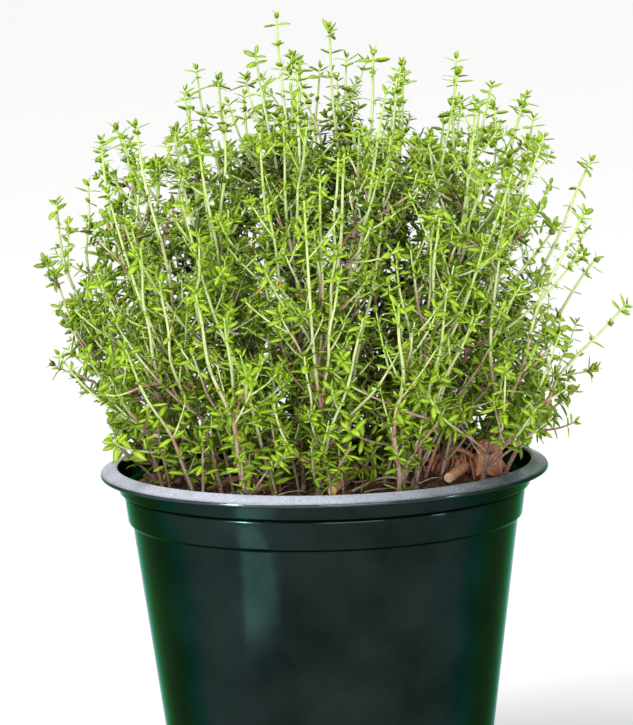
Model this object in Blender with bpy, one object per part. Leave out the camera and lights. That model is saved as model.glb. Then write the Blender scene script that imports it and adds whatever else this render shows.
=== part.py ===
"""Potted thyme: a moulded nursery pot with an outward lip, its soil, loose bits of wood, and leafy thyme stems.

Metres, +Z up. The origin is the middle of the pot's flat underside, and -Y is the front.
Each thyme stem is two objects: the woody lower length with its branches, and the young green shoot on its end.
Stems are square, as thyme's are, and leaves stand in opposite pairs that turn a quarter from node to node.
"""

import math
import random
from collections import namedtuple

import bpy
import bmesh
import numpy as np
from mathutils import Vector, geometry, noise
from mathutils.bvhtree import BVHTree

MM = 0.001
UP = Vector((0, 0, 1))
GAP = 0.3 * MM
SQUARE = ((-1, -1), (1, -1), (1, 1), (-1, 1))
SHARP_ANGLE = math.radians(35)

# Pot
POT_SIDES = 36
POT_HEIGHT = 135 * MM
POT_BASE_R = 58.5 * MM
LIP_R = 85 * MM
LIP_INNER_R = 78.5 * MM
LIP_CREST_Z = POT_HEIGHT - 1.8 * MM
FLANGE_Z = LIP_CREST_Z - 2.2 * MM
COLLAR_TOP_R = 79.4 * MM
COLLAR_FOOT_R = 78 * MM
COLLAR_Z = POT_HEIGHT - 9.6 * MM
GROOVE_R = 75.4 * MM
BAND_TOP_R = 76.2 * MM
BAND_TOP_Z = COLLAR_Z - 1.2 * MM
BAND_FOOT_R = 74.9 * MM
STEP_Z = POT_HEIGHT - 22 * MM
WALL_TOP_R = 73.3 * MM
STEP_SLOPE = 0.8 * MM
WALL = 1.3 * MM
LIP_EDGE = 0.8 * MM
FLOOR = 1.5 * MM
FOOT_BEVEL = 1.2 * MM
FOOT_Z = 3 * MM
FOOT_INNER_R = 48.5 * MM
DISC_R = 30 * MM
CHANNEL_SLOPE = 1.5 * MM
DRAIN_COUNT = 8
DRAIN_LENGTH = 11 * MM
DRAIN_WIDTH = 3.6 * MM
DRAIN_CUT_Z = (FOOT_Z - 2 * MM, FOOT_Z + 4 * MM)

# Soil
SOIL_EDGE_Z = POT_HEIGHT - 9.5 * MM
SOIL_MOUND = 5 * MM
SOIL_ROUGH = 1.2 * MM
SOIL_GRAIN = 17 * MM
SOIL_RINGS = 4
SOIL_CLEAR = 2 * GAP
HOLE_DEPTH = 9 * MM

# Thyme. A half width is half of the square stem's side.
WOOD_HALF = (0.95 * MM, 0.62 * MM)
SHOOT_HALF = (0.6 * MM, 0.42 * MM)
BRANCH_HALF = (0.58 * MM, 0.4 * MM)
NODE_HALF = 0.6 * MM
WOOD_STEP = 18 * MM
WOOD_BARE = 14 * MM
WOOD_END = 4 * MM
SHOOT_STEP = 16 * MM
SHOOT_BARE = 8 * MM
SHOOT_TUFT = (4.6 * MM, 1.6 * MM)
SHOOT_END = 11 * MM
BRANCH_FIRST = 2 * MM
BRANCH_BARE = 12 * MM
BRANCH_STEP = 18 * MM
BRANCH_END = 9 * MM
POINT = 0.8 * MM
LEAF_LENGTH = (6.0 * MM, 8.0 * MM)
LEAF_HALF_WIDTH = 1.25 * MM
YOUNG_HALF_WIDTH = 0.85 * MM
LEAF_HALF_THICK = 0.33 * MM
LEAF_WIDEST = 0.52
LEAF_ARCH = 0.3 * MM
LEAF_CLEAR = 0.35 * MM
STEM_CLEAR = 0.5 * MM
STEM_TRIES = 30
FOOT_RISE = 2 * MM
OVER_SOIL = 1.5 * MM
OVER_LIP = 2 * MM
SWAY = 2.2 * MM
SEED = 11

# Branches fork from the woody stems and fill the crown, the foliage's rounded outline, between the shoots.
CROWN = Vector((2, -1, 210)) * MM
CROWN_HALF = Vector((99, 91, 88)) * MM
CROWN_RISE = (-0.62, 0.94)
CROWN_PLACES = 110
GOLDEN_TURN = math.pi * (3 - math.sqrt(5))
BRANCHES = 34
BRANCH_TRIES = 14
BRANCH_REACH = (34 * MM, 118 * MM)
BRANCH_LEAN = (math.radians(12), math.radians(68))
# The branch tips that the photo shows outside the shoots' own, in mm
BRANCH_TIPS = ((-101, -10, 214), (-95, -10, 181), (-77, -50, 244), (95, -10, 149), (-78, -55, 153), (80, -56, 150))

# Loose bits. The seed sets the bark's corners, which would differ from build to build without one.
REST_SAMPLES = 12
BARK_SEED = 1796090545

# Each stem's foot on the soil and the tip of its shoot, in mm. Curl is 1 where the top rights itself and -1
# where it leans further out. Share is the woody part of the length.
Stem = namedtuple("Stem", "foot_x foot_y tip_x tip_y tip_z curl share")
STEMS = (
    Stem(-62, -6, -98, -10, 238, 1.0, 0.70),
    Stem(-50, -30, -80, -24, 262, 0.8, 0.62),
    Stem(-38, -48, -66, -44, 269, 0.6, 0.60),
    Stem(-30, -8, -49, -5, 278, 0.5, 0.65),
    Stem(-26, -29, -43, -54, 262, 0.4, 0.58),
    Stem(-24, 22, -37, 30, 280, 0.4, 0.65),
    Stem(-50, 28, -78, 46, 243, 0.6, 0.68),
    Stem(-5, -12, -14, 0, 305, 0.3, 0.66),
    Stem(9, 12, 6, 16, 299, 0.2, 0.68),
    Stem(-8, -40, -12, -52, 270, 0.2, 0.60),
    Stem(-4, 37, -6, 54, 283, 0.2, 0.68),
    Stem(16, -9, 22, -5, 291, 0.2, 0.65),
    Stem(-3, -58, 10, -68, 259, 0.2, 0.60),
    Stem(25, 28, 34, 37, 279, 0.1, 0.66),
    Stem(34, -38, 44, -70, 235, -0.2, 0.62),
    Stem(38, 8, 67, 14, 276, -0.1, 0.65),
    Stem(42, 44, 82, 54, 268, -0.2, 0.66),
    Stem(44, -18, 85, -22, 259, -0.2, 0.62),
    Stem(58, 2, 104, 12, 246, -0.3, 0.62),
    Stem(58, -35, 98, -50, 234, -0.3, 0.60),
    Stem(61, 26, 107, 34, 206, -0.4, 0.65),
    Stem(67, -17, 115, -20, 195, -0.4, 0.60),
    Stem(-22, 57, -28, 88, 268, 0.3, 0.68),
    Stem(10, 60, 14, 90, 268, 0.1, 0.68),
    Stem(36, 62, 54, 86, 250, -0.1, 0.66),
    Stem(-28, -63, -45, -90, 212, 0.2, 0.62),
    Stem(27, -62, 28, -94, 207, 0.0, 0.62),
)


def material(name, colour, roughness):
    """A plain finish with the part's own colour."""
    made = bpy.data.materials.new(name)
    made.use_nodes = True
    shader = made.node_tree.nodes["Principled BSDF"]
    shader.inputs["Base Color"].default_value = (*colour, 1)
    shader.inputs["Roughness"].default_value = roughness
    shader.inputs["Metallic"].default_value = 0
    return made


def new_object(name, bm, finish=None):
    """Closes a bmesh into a named object."""
    bmesh.ops.recalc_face_normals(bm, faces=bm.faces)
    mesh = bpy.data.meshes.new(name)
    bm.to_mesh(mesh)
    bm.free()
    made = bpy.data.objects.new(name, mesh)
    bpy.context.scene.collection.objects.link(made)
    if finish:
        mesh.materials.append(finish)
    return made


def hide_cutter(cutter):
    cutter.hide_render = True
    cutter.display_type = "WIRE"


def cut(piece, cutter, name):
    modifier = piece.modifiers.new(name, "BOOLEAN")
    modifier.operation = "DIFFERENCE"
    modifier.object = cutter


def smooth_rounds(piece):
    piece.data.shade_smooth()
    piece.data.set_sharp_from_angle(angle=SHARP_ANGLE)


def skin_rings(bm, rings):
    """Joins each ring of vertices to the next with quads."""
    for low, high in zip(rings, rings[1:]):
        count = len(low)
        for i in range(count):
            j = (i + 1) % count
            bm.faces.new((low[i], low[j], high[j], high[i]))


def close_end(bm, ring, place):
    """A fan of triangles from a ring to one point."""
    point = bm.verts.new(place)
    for i in range(len(ring)):
        bm.faces.new((ring[i], ring[(i + 1) % len(ring)], point))


def add_block(bm, middle, along, across, halves, heights):
    """An upright block from its half length and half width, between two heights over its middle."""
    rings = []
    for z in heights:
        places = [middle + along * a * halves[0] + across * b * halves[1] + UP * z for a, b in SQUARE]
        rings.append([bm.verts.new(place) for place in places])
    skin_rings(bm, rings)
    bm.faces.new(reversed(rings[0]))
    bm.faces.new(rings[1])


def circle(bm, radius, z, sides):
    turns = (2 * math.pi * i / sides for i in range(sides))
    return [bm.verts.new((radius * math.cos(a), radius * math.sin(a), z)) for a in turns]


def wall_radius(z):
    """The outer wall's radius between the foot and the step."""
    return POT_BASE_R + (WALL_TOP_R - POT_BASE_R) * z / STEP_Z


def pot_profile():
    """Radius and height: from the underside up the outside, over the lip and down the inside."""
    return (
        (DISC_R, 0),
        (DISC_R + CHANNEL_SLOPE, FOOT_Z),
        (FOOT_INNER_R - CHANNEL_SLOPE, FOOT_Z),
        (FOOT_INNER_R, 0),
        (POT_BASE_R - FOOT_BEVEL, 0),
        (wall_radius(FOOT_BEVEL), FOOT_BEVEL),
        (WALL_TOP_R, STEP_Z),
        (BAND_FOOT_R, STEP_Z + STEP_SLOPE),
        (BAND_TOP_R, BAND_TOP_Z),
        (GROOVE_R, COLLAR_Z),
        (COLLAR_FOOT_R, COLLAR_Z),
        (COLLAR_TOP_R, FLANGE_Z),
        (LIP_R - LIP_EDGE / 2, FLANGE_Z),
        (LIP_R, FLANGE_Z + LIP_EDGE / 2),
        (LIP_R, LIP_CREST_Z - LIP_EDGE),
        (LIP_R - LIP_EDGE, LIP_CREST_Z),
        (LIP_INNER_R + LIP_EDGE, POT_HEIGHT),
        (LIP_INNER_R, POT_HEIGHT - LIP_EDGE / 2),
        (COLLAR_TOP_R - WALL, FLANGE_Z),
        (COLLAR_FOOT_R - WALL, COLLAR_Z + WALL),
        (GROOVE_R - WALL, COLLAR_Z + WALL),
        (BAND_TOP_R - WALL, BAND_TOP_Z),
        (BAND_FOOT_R - WALL, STEP_Z + STEP_SLOPE / 4),
        (WALL_TOP_R - WALL, STEP_Z - STEP_SLOPE),
        (wall_radius(FLOOR) - WALL, FLOOR),
        (FOOT_INNER_R + WALL, FLOOR),
        (FOOT_INNER_R - CHANNEL_SLOPE + WALL, FOOT_Z + FLOOR),
        (DISC_R + CHANNEL_SLOPE - WALL, FOOT_Z + FLOOR),
        (DISC_R - WALL, FLOOR),
    )


def make_pot():
    bm = bmesh.new()
    profile = pot_profile()
    rings = [circle(bm, radius, z, POT_SIDES) for radius, z in profile]
    skin_rings(bm, rings)
    close_end(bm, rings[0], (0, 0, 0))
    close_end(bm, rings[-1], (0, 0, profile[-1][1]))
    pot = new_object("pot", bm, material("pot_plastic", (0.012, 0.022, 0.022), 0.22))
    smooth_rounds(pot)
    cut(pot, drain_cutter(), "drain_slots")


def drain_cutter():
    """Eight narrow slots through the raised channel in the floor."""
    bm = bmesh.new()
    middle = (DISC_R + FOOT_INNER_R) / 2
    for i in range(DRAIN_COUNT):
        turn = 2 * math.pi * (i + 0.5) / DRAIN_COUNT
        along = Vector((math.cos(turn), math.sin(turn), 0))
        across = Vector((-math.sin(turn), math.cos(turn), 0))
        halves = DRAIN_LENGTH / 2, DRAIN_WIDTH / 2
        add_block(bm, along * middle, along, across, halves, DRAIN_CUT_Z)
    cutter = new_object("drain_cutter", bm)
    hide_cutter(cutter)
    return cutter


def soil_height(x, y):
    """The soil's uneven top, mounded towards the middle."""
    share = min(1, math.hypot(x, y) / BAND_TOP_R)
    rough = noise.noise(Vector((x, y, 0)) / SOIL_GRAIN) * SOIL_ROUGH * 2
    return SOIL_EDGE_Z + SOIL_MOUND * (1 - share**2) + rough * (1 - share**4)


def make_soil(feet):
    bm = bmesh.new()
    floor = FOOT_Z + FLOOR + GAP
    edge_r = GROOVE_R - WALL - SOIL_CLEAR
    rings = [
        circle(bm, wall_radius(floor) - WALL - GAP, floor, POT_SIDES),
        circle(bm, WALL_TOP_R - WALL - SOIL_CLEAR, STEP_Z - STEP_SLOPE, POT_SIDES),
        circle(bm, BAND_FOOT_R - WALL - SOIL_CLEAR, STEP_Z + STEP_SLOPE, POT_SIDES),
    ]
    for i in range(SOIL_RINGS):
        rings.append(circle(bm, edge_r * (1 - i / SOIL_RINGS), 0, POT_SIDES))
        for vert in rings[-1]:
            vert.co.z = soil_height(vert.co.x, vert.co.y)
    skin_rings(bm, rings)
    close_end(bm, rings[0], (0, 0, floor))
    close_end(bm, rings[-1], (0, 0, soil_height(0, 0)))
    soil = new_object("soil", bm, material("potting_soil", (0.05, 0.028, 0.017), 0.95))
    cut(soil, hole_cutter(feet), "stem_holes")
    return soil


def hole_cutter(feet):
    """A square hole round the buried length of each stem."""
    bm = bmesh.new()
    for stem in feet:
        buried = stem.stations[0]
        half = WOOD_HALF[0] + GAP
        heights = -GAP, HOLE_DEPTH + SOIL_MOUND
        add_block(bm, buried.place, buried.side, buried.across, (half, half), heights)
    cutter = new_object("hole_cutter", bm)
    hide_cutter(cutter)
    return cutter


Station = namedtuple("Station", "place along side across half")
Leaf = namedtuple("Leaf", "root along flat length half_width")


class Axis:
    """A stem, shoot or branch: square rings along a path, its nodes, and what grows from their four faces."""

    def __init__(self, name, stations, nodes, pointed):
        self.name = name
        self.stations = stations
        self.nodes = nodes
        self.pointed = pointed
        self.grown = {node: {} for node in nodes}


class Thicket:
    """Everything placed so far, as thick segments, so that what comes later stays clear of it."""

    def __init__(self):
        self.starts, self.ends, self.radii, self.owners = [], [], [], []

    def add(self, start, end, radius, owner):
        self.starts.append(start[:])
        self.ends.append(end[:])
        self.radii.append(radius)
        self.owners.append(owner)

    def add_axis(self, axis):
        for low, high in zip(axis.stations, axis.stations[1:]):
            self.add(low.place, high.place, low.half * math.sqrt(2), axis.name)

    def room(self, points, radius, but=()):
        """The least clear distance from some points to all placed segments, but for some owners' own."""
        keep = [owner not in but for owner in self.owners]
        if not any(keep):
            return math.inf
        start = np.array(self.starts)[keep]
        run = np.array(self.ends)[keep] - start
        thick = np.array(self.radii)[keep]
        square = np.maximum((run**2).sum(1), 1e-12)
        least = math.inf
        for point in points:
            offset = np.array(point[:]) - start
            share = np.clip((offset * run).sum(1) / square, 0, 1)
            apart = np.linalg.norm(offset - run * share[:, None], axis=1) - thick
            least = min(least, apart.min())
        return least - radius


class Path:
    """A smooth line through space, read by the length along it."""

    SAMPLES = 60

    def __init__(self, place_at):
        self.points = [place_at(i / self.SAMPLES) for i in range(self.SAMPLES + 1)]
        self.reach = [0]
        for a, b in zip(self.points, self.points[1:]):
            self.reach.append(self.reach[-1] + (b - a).length)
        self.length = self.reach[-1]

    def at(self, length):
        length = min(max(length, 0), self.length)
        i = min(np.searchsorted(self.reach, length, side="right"), self.SAMPLES) - 1
        share = (length - self.reach[i]) / (self.reach[i + 1] - self.reach[i])
        return self.points[i].lerp(self.points[i + 1], share)

    def along(self, length):
        step = 1.5 * MM
        low = max(0, min(length - step, self.length - 2 * step))
        return (self.at(low + 2 * step) - self.at(low)).normalized()


def bezier(a, b, c, d, t):
    s = 1 - t
    return a * s**3 + b * (3 * s * s * t) + c * (3 * s * t * t) + d * t**3


def stem_path(stem, rng):
    """From the soil to the shoot's tip: upright at first, over with the stem's lean, and curled at the top."""
    foot = Vector((stem.foot_x * MM, stem.foot_y * MM, 0))
    foot.z = soil_height(foot.x, foot.y) + FOOT_RISE
    tip = Vector((stem.tip_x, stem.tip_y, stem.tip_z)) * MM
    out = Vector((tip.x - foot.x, tip.y - foot.y, 0))
    rise = UP * (tip.z - foot.z)
    low = foot + out * (0.22 + 0.12 * stem.curl) + rise * 0.3
    high = tip - out * (1 - stem.curl) * 0.32 - rise * 0.32
    turns = [rng.uniform(0, 2 * math.pi) for _ in range(2)]

    def place_at(t):
        fade = math.sin(math.pi * t) ** 2
        sway = [math.sin(3.1 * math.pi * t + turn) * SWAY * fade for turn in turns]
        return bezier(foot, low, high, tip, t) + Vector((*sway, 0))

    return Path(place_at)


def stations_along(path, lengths, halves, first=None, turn=0.0):
    """Square rings at some lengths along a path, each turned no more than the path turns."""
    made = []
    if first:
        side = first.side
    else:
        along = path.along(lengths[0])
        side = Vector((math.cos(turn), math.sin(turn), 0))
        side = (side - along * side.dot(along)).normalized()
    for length in lengths:
        along = path.along(length)
        side = (side - along * side.dot(along)).normalized()
        share = (length - lengths[0]) / (lengths[-1] - lengths[0])
        half = halves[0] + (halves[1] - halves[0]) * share
        made.append(Station(path.at(length), along, side, along.cross(side), half))
    return made


def with_nodes(start, nodes, end):
    """The lengths of all rings, two to a node, and the index of each node's lower ring."""
    lengths, low_rings = [start], []
    for node in nodes:
        low_rings.append(len(lengths))
        lengths += [node - NODE_HALF, node + NODE_HALF]
    return lengths + [end], low_rings


def steps(start, end, step):
    """Even places from start, as many as fit before end."""
    return [start + i * step for i in range(int((end - start) / step) + 1)]


def wood_axis(name, path, share, turn):
    end = path.length * share
    lengths, nodes = with_nodes(0, steps(WOOD_BARE, end - WOOD_END, WOOD_STEP), end)
    stations = stations_along(path, lengths, WOOD_HALF, turn=turn)
    buried = stations[0]
    side = Vector((buried.side.x, buried.side.y, 0)).normalized()
    foot = buried.place - UP * (HOLE_DEPTH + FOOT_RISE)
    bottom = Station(foot, UP, side, UP.cross(side), WOOD_HALF[0])
    upright = bottom._replace(place=buried.place)
    return Axis(name, [bottom, upright] + stations[1:], [n + 1 for n in nodes], False)


def shoot_axis(name, path, share, last):
    start = path.length * share + GAP
    end = path.length - POINT
    pairs = steps(start + SHOOT_BARE, end - SHOOT_END, SHOOT_STEP)
    lengths, nodes = with_nodes(start, pairs + [end - below for below in SHOOT_TUFT], end)
    return Axis(name, stations_along(path, lengths, SHOOT_HALF, first=last), nodes, True)


def face_outward(low, face):
    """The way a ring's face looks: faces 0 to 3 go round the square."""
    return (-low.across, low.side, low.across, -low.side)[face]


def branch_axis(name, host, node, face, tip):
    """A branch from one face of a host's node to a tip, which leaves sideways and turns up."""
    low, high = host.stations[node], host.stations[node + 1]
    outward = face_outward(low, face)
    start = (low.place + high.place) / 2 + outward * low.half
    reach = (tip - start).length
    rise = ((tip - start).normalized() + UP * 0.45).normalized()
    bend = start + (outward + low.along * 0.7) * reach * 0.24
    path = Path(lambda t: bezier(start, bend, tip - rise * reach * 0.36, tip, t))
    end = path.length - POINT
    pairs = steps(BRANCH_BARE, end - BRANCH_END, BRANCH_STEP)
    lengths, nodes = with_nodes(BRANCH_FIRST, pairs + [end - SHOOT_TUFT[1]], end)
    first = low._replace(side=face_outward(low, (face + 1) % 4))
    return Axis(name, stations_along(path, lengths, BRANCH_HALF, first=first), nodes, True)


def points_of(axis, skip=0):
    """Places along an axis, close enough together to find anything that it nears."""
    found = []
    for low, high in zip(axis.stations, axis.stations[1:]):
        count = max(1, round((high.place - low.place).length / (2 * MM)))
        found += [low.place.lerp(high.place, i / count) for i in range(count)]
    return found[skip:] + [axis.stations[-1].place]


def lay_out_stem(number, stem, thicket, rng):
    """One stem's wood and shoot, swayed so that both stay clear of the stems already there."""
    for _ in range(STEM_TRIES):
        path = stem_path(stem, rng)
        wood = wood_axis(f"wood_{number:02d}", path, stem.share, rng.uniform(0, math.pi / 2))
        shoot = shoot_axis(f"shoot_{number:02d}", path, stem.share, wood.stations[-1])
        if min(thicket.room(points_of(axis), WOOD_HALF[0] * 1.5) for axis in (wood, shoot)) > STEM_CLEAR:
            break
    else:
        raise ValueError(f"stem {number} finds no clear way")
    thicket.add_axis(wood)
    thicket.add_axis(shoot)
    return wood, shoot


def crown_place(i):
    """One of the places on the crown's skin, which are spread as seeds are in a sunflower."""
    rise = CROWN_RISE[0] + (CROWN_RISE[1] - CROWN_RISE[0]) * (i + 0.5) / CROWN_PLACES
    flat, turn = math.sqrt(1 - rise * rise), i * GOLDEN_TURN
    return CROWN + Vector((flat * math.cos(turn), flat * math.sin(turn), rise)) * CROWN_HALF


def forks(tip, woods):
    """The woody stems' free node faces from which a branch could reach a tip, the best ones first."""
    found = []
    for wood in woods:
        for node in wood.nodes[:-1]:
            low = wood.stations[node]
            way = tip - low.place
            lean = way.angle(low.along)
            if BRANCH_REACH[0] < way.length < BRANCH_REACH[1] and BRANCH_LEAN[0] < lean < BRANCH_LEAN[1]:
                face = max(range(4), key=lambda face: face_outward(low, face).dot(way))
                if face not in wood.grown[node]:
                    found.append((way.length * (1 + lean), wood, node, face))
    return sorted(found, key=lambda fork: fork[0])[:BRANCH_TRIES]


def lay_out_branch(tip, woods, thicket):
    """A branch to one tip from the first fork that leaves it room, or none."""
    for _, wood, node, face in forks(tip, woods):
        branch = branch_axis(wood.name + "_branch", wood, node, face, tip)
        points = points_of(branch)
        apart = min(thicket.room(points[2:], BRANCH_HALF[0] * 1.5, (wood.name,)), thicket.room(points[7:], 0))
        if apart > STEM_CLEAR and above_rim(points):
            thicket.add_axis(branch)
            wood.grown[node][face] = branch
            return branch
    return None


def lay_out_branches(pairs, thicket):
    """The photo's own branch tips first, then the emptiest places on the crown, one by one."""
    woods = [wood for wood, _ in pairs]
    ends = [shoot.stations[-1].place for _, shoot in pairs]
    places = [crown_place(i) for i in range(CROWN_PLACES)]
    seen = [Vector(tip) * MM for tip in BRANCH_TIPS]
    laid = 0
    while laid < BRANCHES and (seen or places):
        tip = seen[0] if seen else max(places, key=lambda place: min((place - end).length for end in ends))
        (seen or places).remove(tip)
        if lay_out_branch(tip, woods, thicket):
            ends.append(tip)
            laid += 1


def above_rim(points):
    """Whether some points stay over the soil and clear of the pot's lip."""
    for point in points:
        in_pot = math.hypot(point.x, point.y) < BAND_FOOT_R - 3 * WALL
        floor = soil_height(point.x, point.y) + OVER_SOIL if in_pot else POT_HEIGHT + OVER_LIP
        if point.z < floor:
            return False
    return True


def leaf_on(axis, node, face, length, rise, half_width):
    """A leaf from one face of a node. Rise is its angle above square to the stem."""
    low, high = axis.stations[node], axis.stations[node + 1]
    outward = face_outward(low, face)
    root = (low.place + high.place) / 2 + outward * low.half
    along = outward * math.cos(rise) + low.along * math.sin(rise)
    flat = low.along * math.cos(rise) - outward * math.sin(rise)
    return Leaf(root, along, flat, length, half_width)


def stands_off(axis, node, leaf):
    """Whether a leaf's middle is clear of the next length of its own stem."""
    low, high = axis.stations[node + 1], axis.stations[node + 2]
    middle = leaf.root + leaf.along * leaf.length * LEAF_WIDEST
    beside = geometry.intersect_point_line(middle, low.place, high.place)[0]
    return (middle - beside).length > low.half * math.sqrt(2) + LEAF_HALF_THICK + LEAF_CLEAR


def add_leaf(axis, node, face, length, rise, half_width, thicket):
    """Keeps a leaf if it has room, shortened or lowered where it must be."""
    own = (axis.name, (axis.name, node))
    for size, lift in ((1, 1), (0.8, 1), (1, 0.4)):
        leaf = leaf_on(axis, node, face, length * size, rise * lift, half_width)
        points = [leaf.root + leaf.along * leaf.length * share for share in (0.35, 0.55, 0.8, 1)]
        free = thicket.room(points, half_width, own) > LEAF_CLEAR and above_rim(points)
        if free and stands_off(axis, node, leaf):
            thicket.add(leaf.root, points[-1], half_width, own[1])
            axis.grown[node][face] = leaf
            return


def leaf_out(axis, thicket, rng):
    """Puts the leaves on an axis: opposite pairs that turn a quarter from node to node."""
    for i, node in enumerate(axis.nodes):
        last = axis.pointed and node == axis.nodes[-1]
        for turn in range(4):
            face = (turn * 2 + turn // 2 + i) % 4
            if face in axis.grown[node] or (turn > 1 and not last):
                continue
            length = rng.uniform(*LEAF_LENGTH) * (1 if turn < 2 else 0.8)
            rise = math.radians(rng.uniform(40, 50) if last else rng.uniform(18, 45))
            half_width = YOUNG_HALF_WIDTH if last else LEAF_HALF_WIDTH
            add_leaf(axis, node, face, length, rise, half_width, thicket)


def ring_places(station):
    return [station.place + (station.side * a + station.across * b) * station.half for a, b in SQUARE]


def build_leaf(bm, corners, leaf):
    """A blade drawn out of a node's face: a wide middle and a pointed tip."""
    wide = (corners[1].co - corners[0].co).normalized()
    middle = leaf.root + leaf.along * leaf.length * LEAF_WIDEST + leaf.flat * LEAF_ARCH
    across = wide * leaf.half_width
    thick = leaf.flat * LEAF_HALF_THICK
    ring = [bm.verts.new(middle + across * a + thick * b) for a, b in SQUARE]
    skin_rings(bm, [corners, ring])
    close_end(bm, ring, leaf.root + leaf.along * leaf.length)


def build_axis(bm, axis, first_ring=None):
    """The square stem with its leaves and branches drawn out of its nodes' faces, all one skin."""
    rings = [[bm.verts.new(place) for place in ring_places(station)] for station in axis.stations]
    if first_ring:
        skin_rings(bm, [first_ring, rings[0]])
    else:
        bm.faces.new(reversed(rings[0]))
    for i, (low, high) in enumerate(zip(rings, rings[1:])):
        grown = axis.grown.get(i, {})
        for face in range(4):
            corners = (low[face], low[(face + 1) % 4], high[(face + 1) % 4], high[face])
            if face not in grown:
                bm.faces.new(corners)
            elif isinstance(grown[face], Leaf):
                build_leaf(bm, corners, grown[face])
            else:
                build_axis(bm, grown[face], corners)
    if axis.pointed:
        close_end(bm, rings[-1], axis.stations[-1].place + axis.stations[-1].along * POINT)
    else:
        bm.faces.new(rings[-1])


def make_thyme():
    """All stems. Paths come first and leaves after them, so that no leaf stands in a stem's way."""
    rng = random.Random(SEED)
    thicket = Thicket()
    pairs = [lay_out_stem(i + 1, stem, thicket, rng) for i, stem in enumerate(STEMS)]
    lay_out_branches(pairs, thicket)
    wood_finish = material("thyme_wood", (0.10, 0.16, 0.05), 0.7)
    shoot_finish = material("thyme_shoot", (0.25, 0.45, 0.07), 0.55)
    for wood, shoot in pairs:
        for axis, finish in ((wood, wood_finish), (shoot, shoot_finish)):
            leaf_out(axis, thicket, rng)
            for grown in axis.grown.values():
                for branch in grown.values():
                    if isinstance(branch, Axis):
                        leaf_out(branch, thicket, rng)
            bm = bmesh.new()
            build_axis(bm, axis)
            new_object(axis.name, bm, finish)
    return [wood for wood, _ in pairs]


def stick(name, ends, radii, sides, finish):
    """A straight cut stick with flat ends that lies on the soil."""
    start, end = (Vector((*point, 0)) * MM for point in ends)
    start.z, end.z = (soil_height(point.x, point.y) + radii[0] * MM for point in (start, end))
    along = (end - start).normalized()
    side = along.cross(UP).normalized()
    over = side.cross(along)
    bm = bmesh.new()
    rings = []
    for place, radius in zip((start, end), radii):
        ring = []
        for i in range(sides):
            turn = 2 * math.pi * i / sides
            ring.append(bm.verts.new(place + (side * math.cos(turn) + over * math.sin(turn)) * radius * MM))
        rings.append(ring)
    skin_rings(bm, rings)
    bm.faces.new(reversed(rings[0]))
    bm.faces.new(rings[1])
    return new_object(name, bm, finish)


def bark_slab(name, middle, size, turn, tilt, finish):
    """A rough slab of bark: a bevelled block with wandering corners."""
    bm = bmesh.new()
    bmesh.ops.create_cube(bm, size=1)
    bmesh.ops.subdivide_edges(bm, edges=bm.edges, cuts=1, use_grid_fill=True)
    for vert in bm.verts:
        wander = noise.noise_vector(vert.co * 1.7 + Vector((*middle, 0))) * 0.14
        vert.co = Vector(a * b * MM for a, b in zip(vert.co + wander, size))
    slab = new_object(name, bm, finish)
    x, y = (value * MM for value in middle)
    slab.rotation_euler = (tilt, 0, turn)
    slab.location = (x, y, soil_height(x, y) + max(size) * MM / 2)
    return slab


def settle(piece, soil):
    """Lowers a piece until it rests on the soil, with the small gap that touching pieces keep."""
    bpy.context.view_layer.update()
    ground = BVHTree.FromObject(soil, bpy.context.evaluated_depsgraph_get())
    corners = [piece.matrix_world @ vert.co for vert in piece.data.vertices]
    drops = []
    for edge in piece.data.edges:
        start, end = (corners[i] for i in edge.vertices)
        for i in range(REST_SAMPLES + 1):
            place = start.lerp(end, i / REST_SAMPLES)
            drops.append(place.z - ground.ray_cast(place + UP * POT_HEIGHT, -UP)[0].z)
    piece.location.z -= min(drops) - GAP * 1.3


def make_bits(soil):
    """The cut twig, the stick and the bark that lie and stand on the soil."""
    pale_wood = material("cut_wood", (0.50, 0.27, 0.12), 0.8)
    bark = material("bark", (0.24, 0.10, 0.05), 0.9)
    noise.seed_set(BARK_SEED)
    bits = (
        stick("cut_twig", ((46.5, -24), (53.5, 0)), (1.8, 1.9), 8, pale_wood),
        stick("orange_stick", ((2.5, -46), (11.5, -8)), (1.7, 1.9), 6, pale_wood),
        bark_slab("bark_slab_1", (62, -7), (9, 3.2, 12), 0.3, math.radians(10), bark),
        bark_slab("bark_slab_2", (42, 26), (18, 8, 7), -0.35, math.radians(8), bark),
    )
    for bit in bits:
        settle(bit, soil)


def main():
    for thing in list(bpy.data.objects):
        bpy.data.objects.remove(thing, do_unlink=True)
    make_pot()
    soil = make_soil(make_thyme())
    make_bits(soil)


main()
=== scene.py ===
"""Potted thyme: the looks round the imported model.

Metres, +Z up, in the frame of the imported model: the origin is the middle of the pot's flat underside, and -Y
is the front. The thyme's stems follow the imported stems' own rule, and finer leaves, twigs and further stems
clothe them.
"""

import math
import random
from collections import namedtuple

import bmesh
import bpy
import numpy as np
from mathutils import Matrix, Quaternion, Vector, noise


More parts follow.
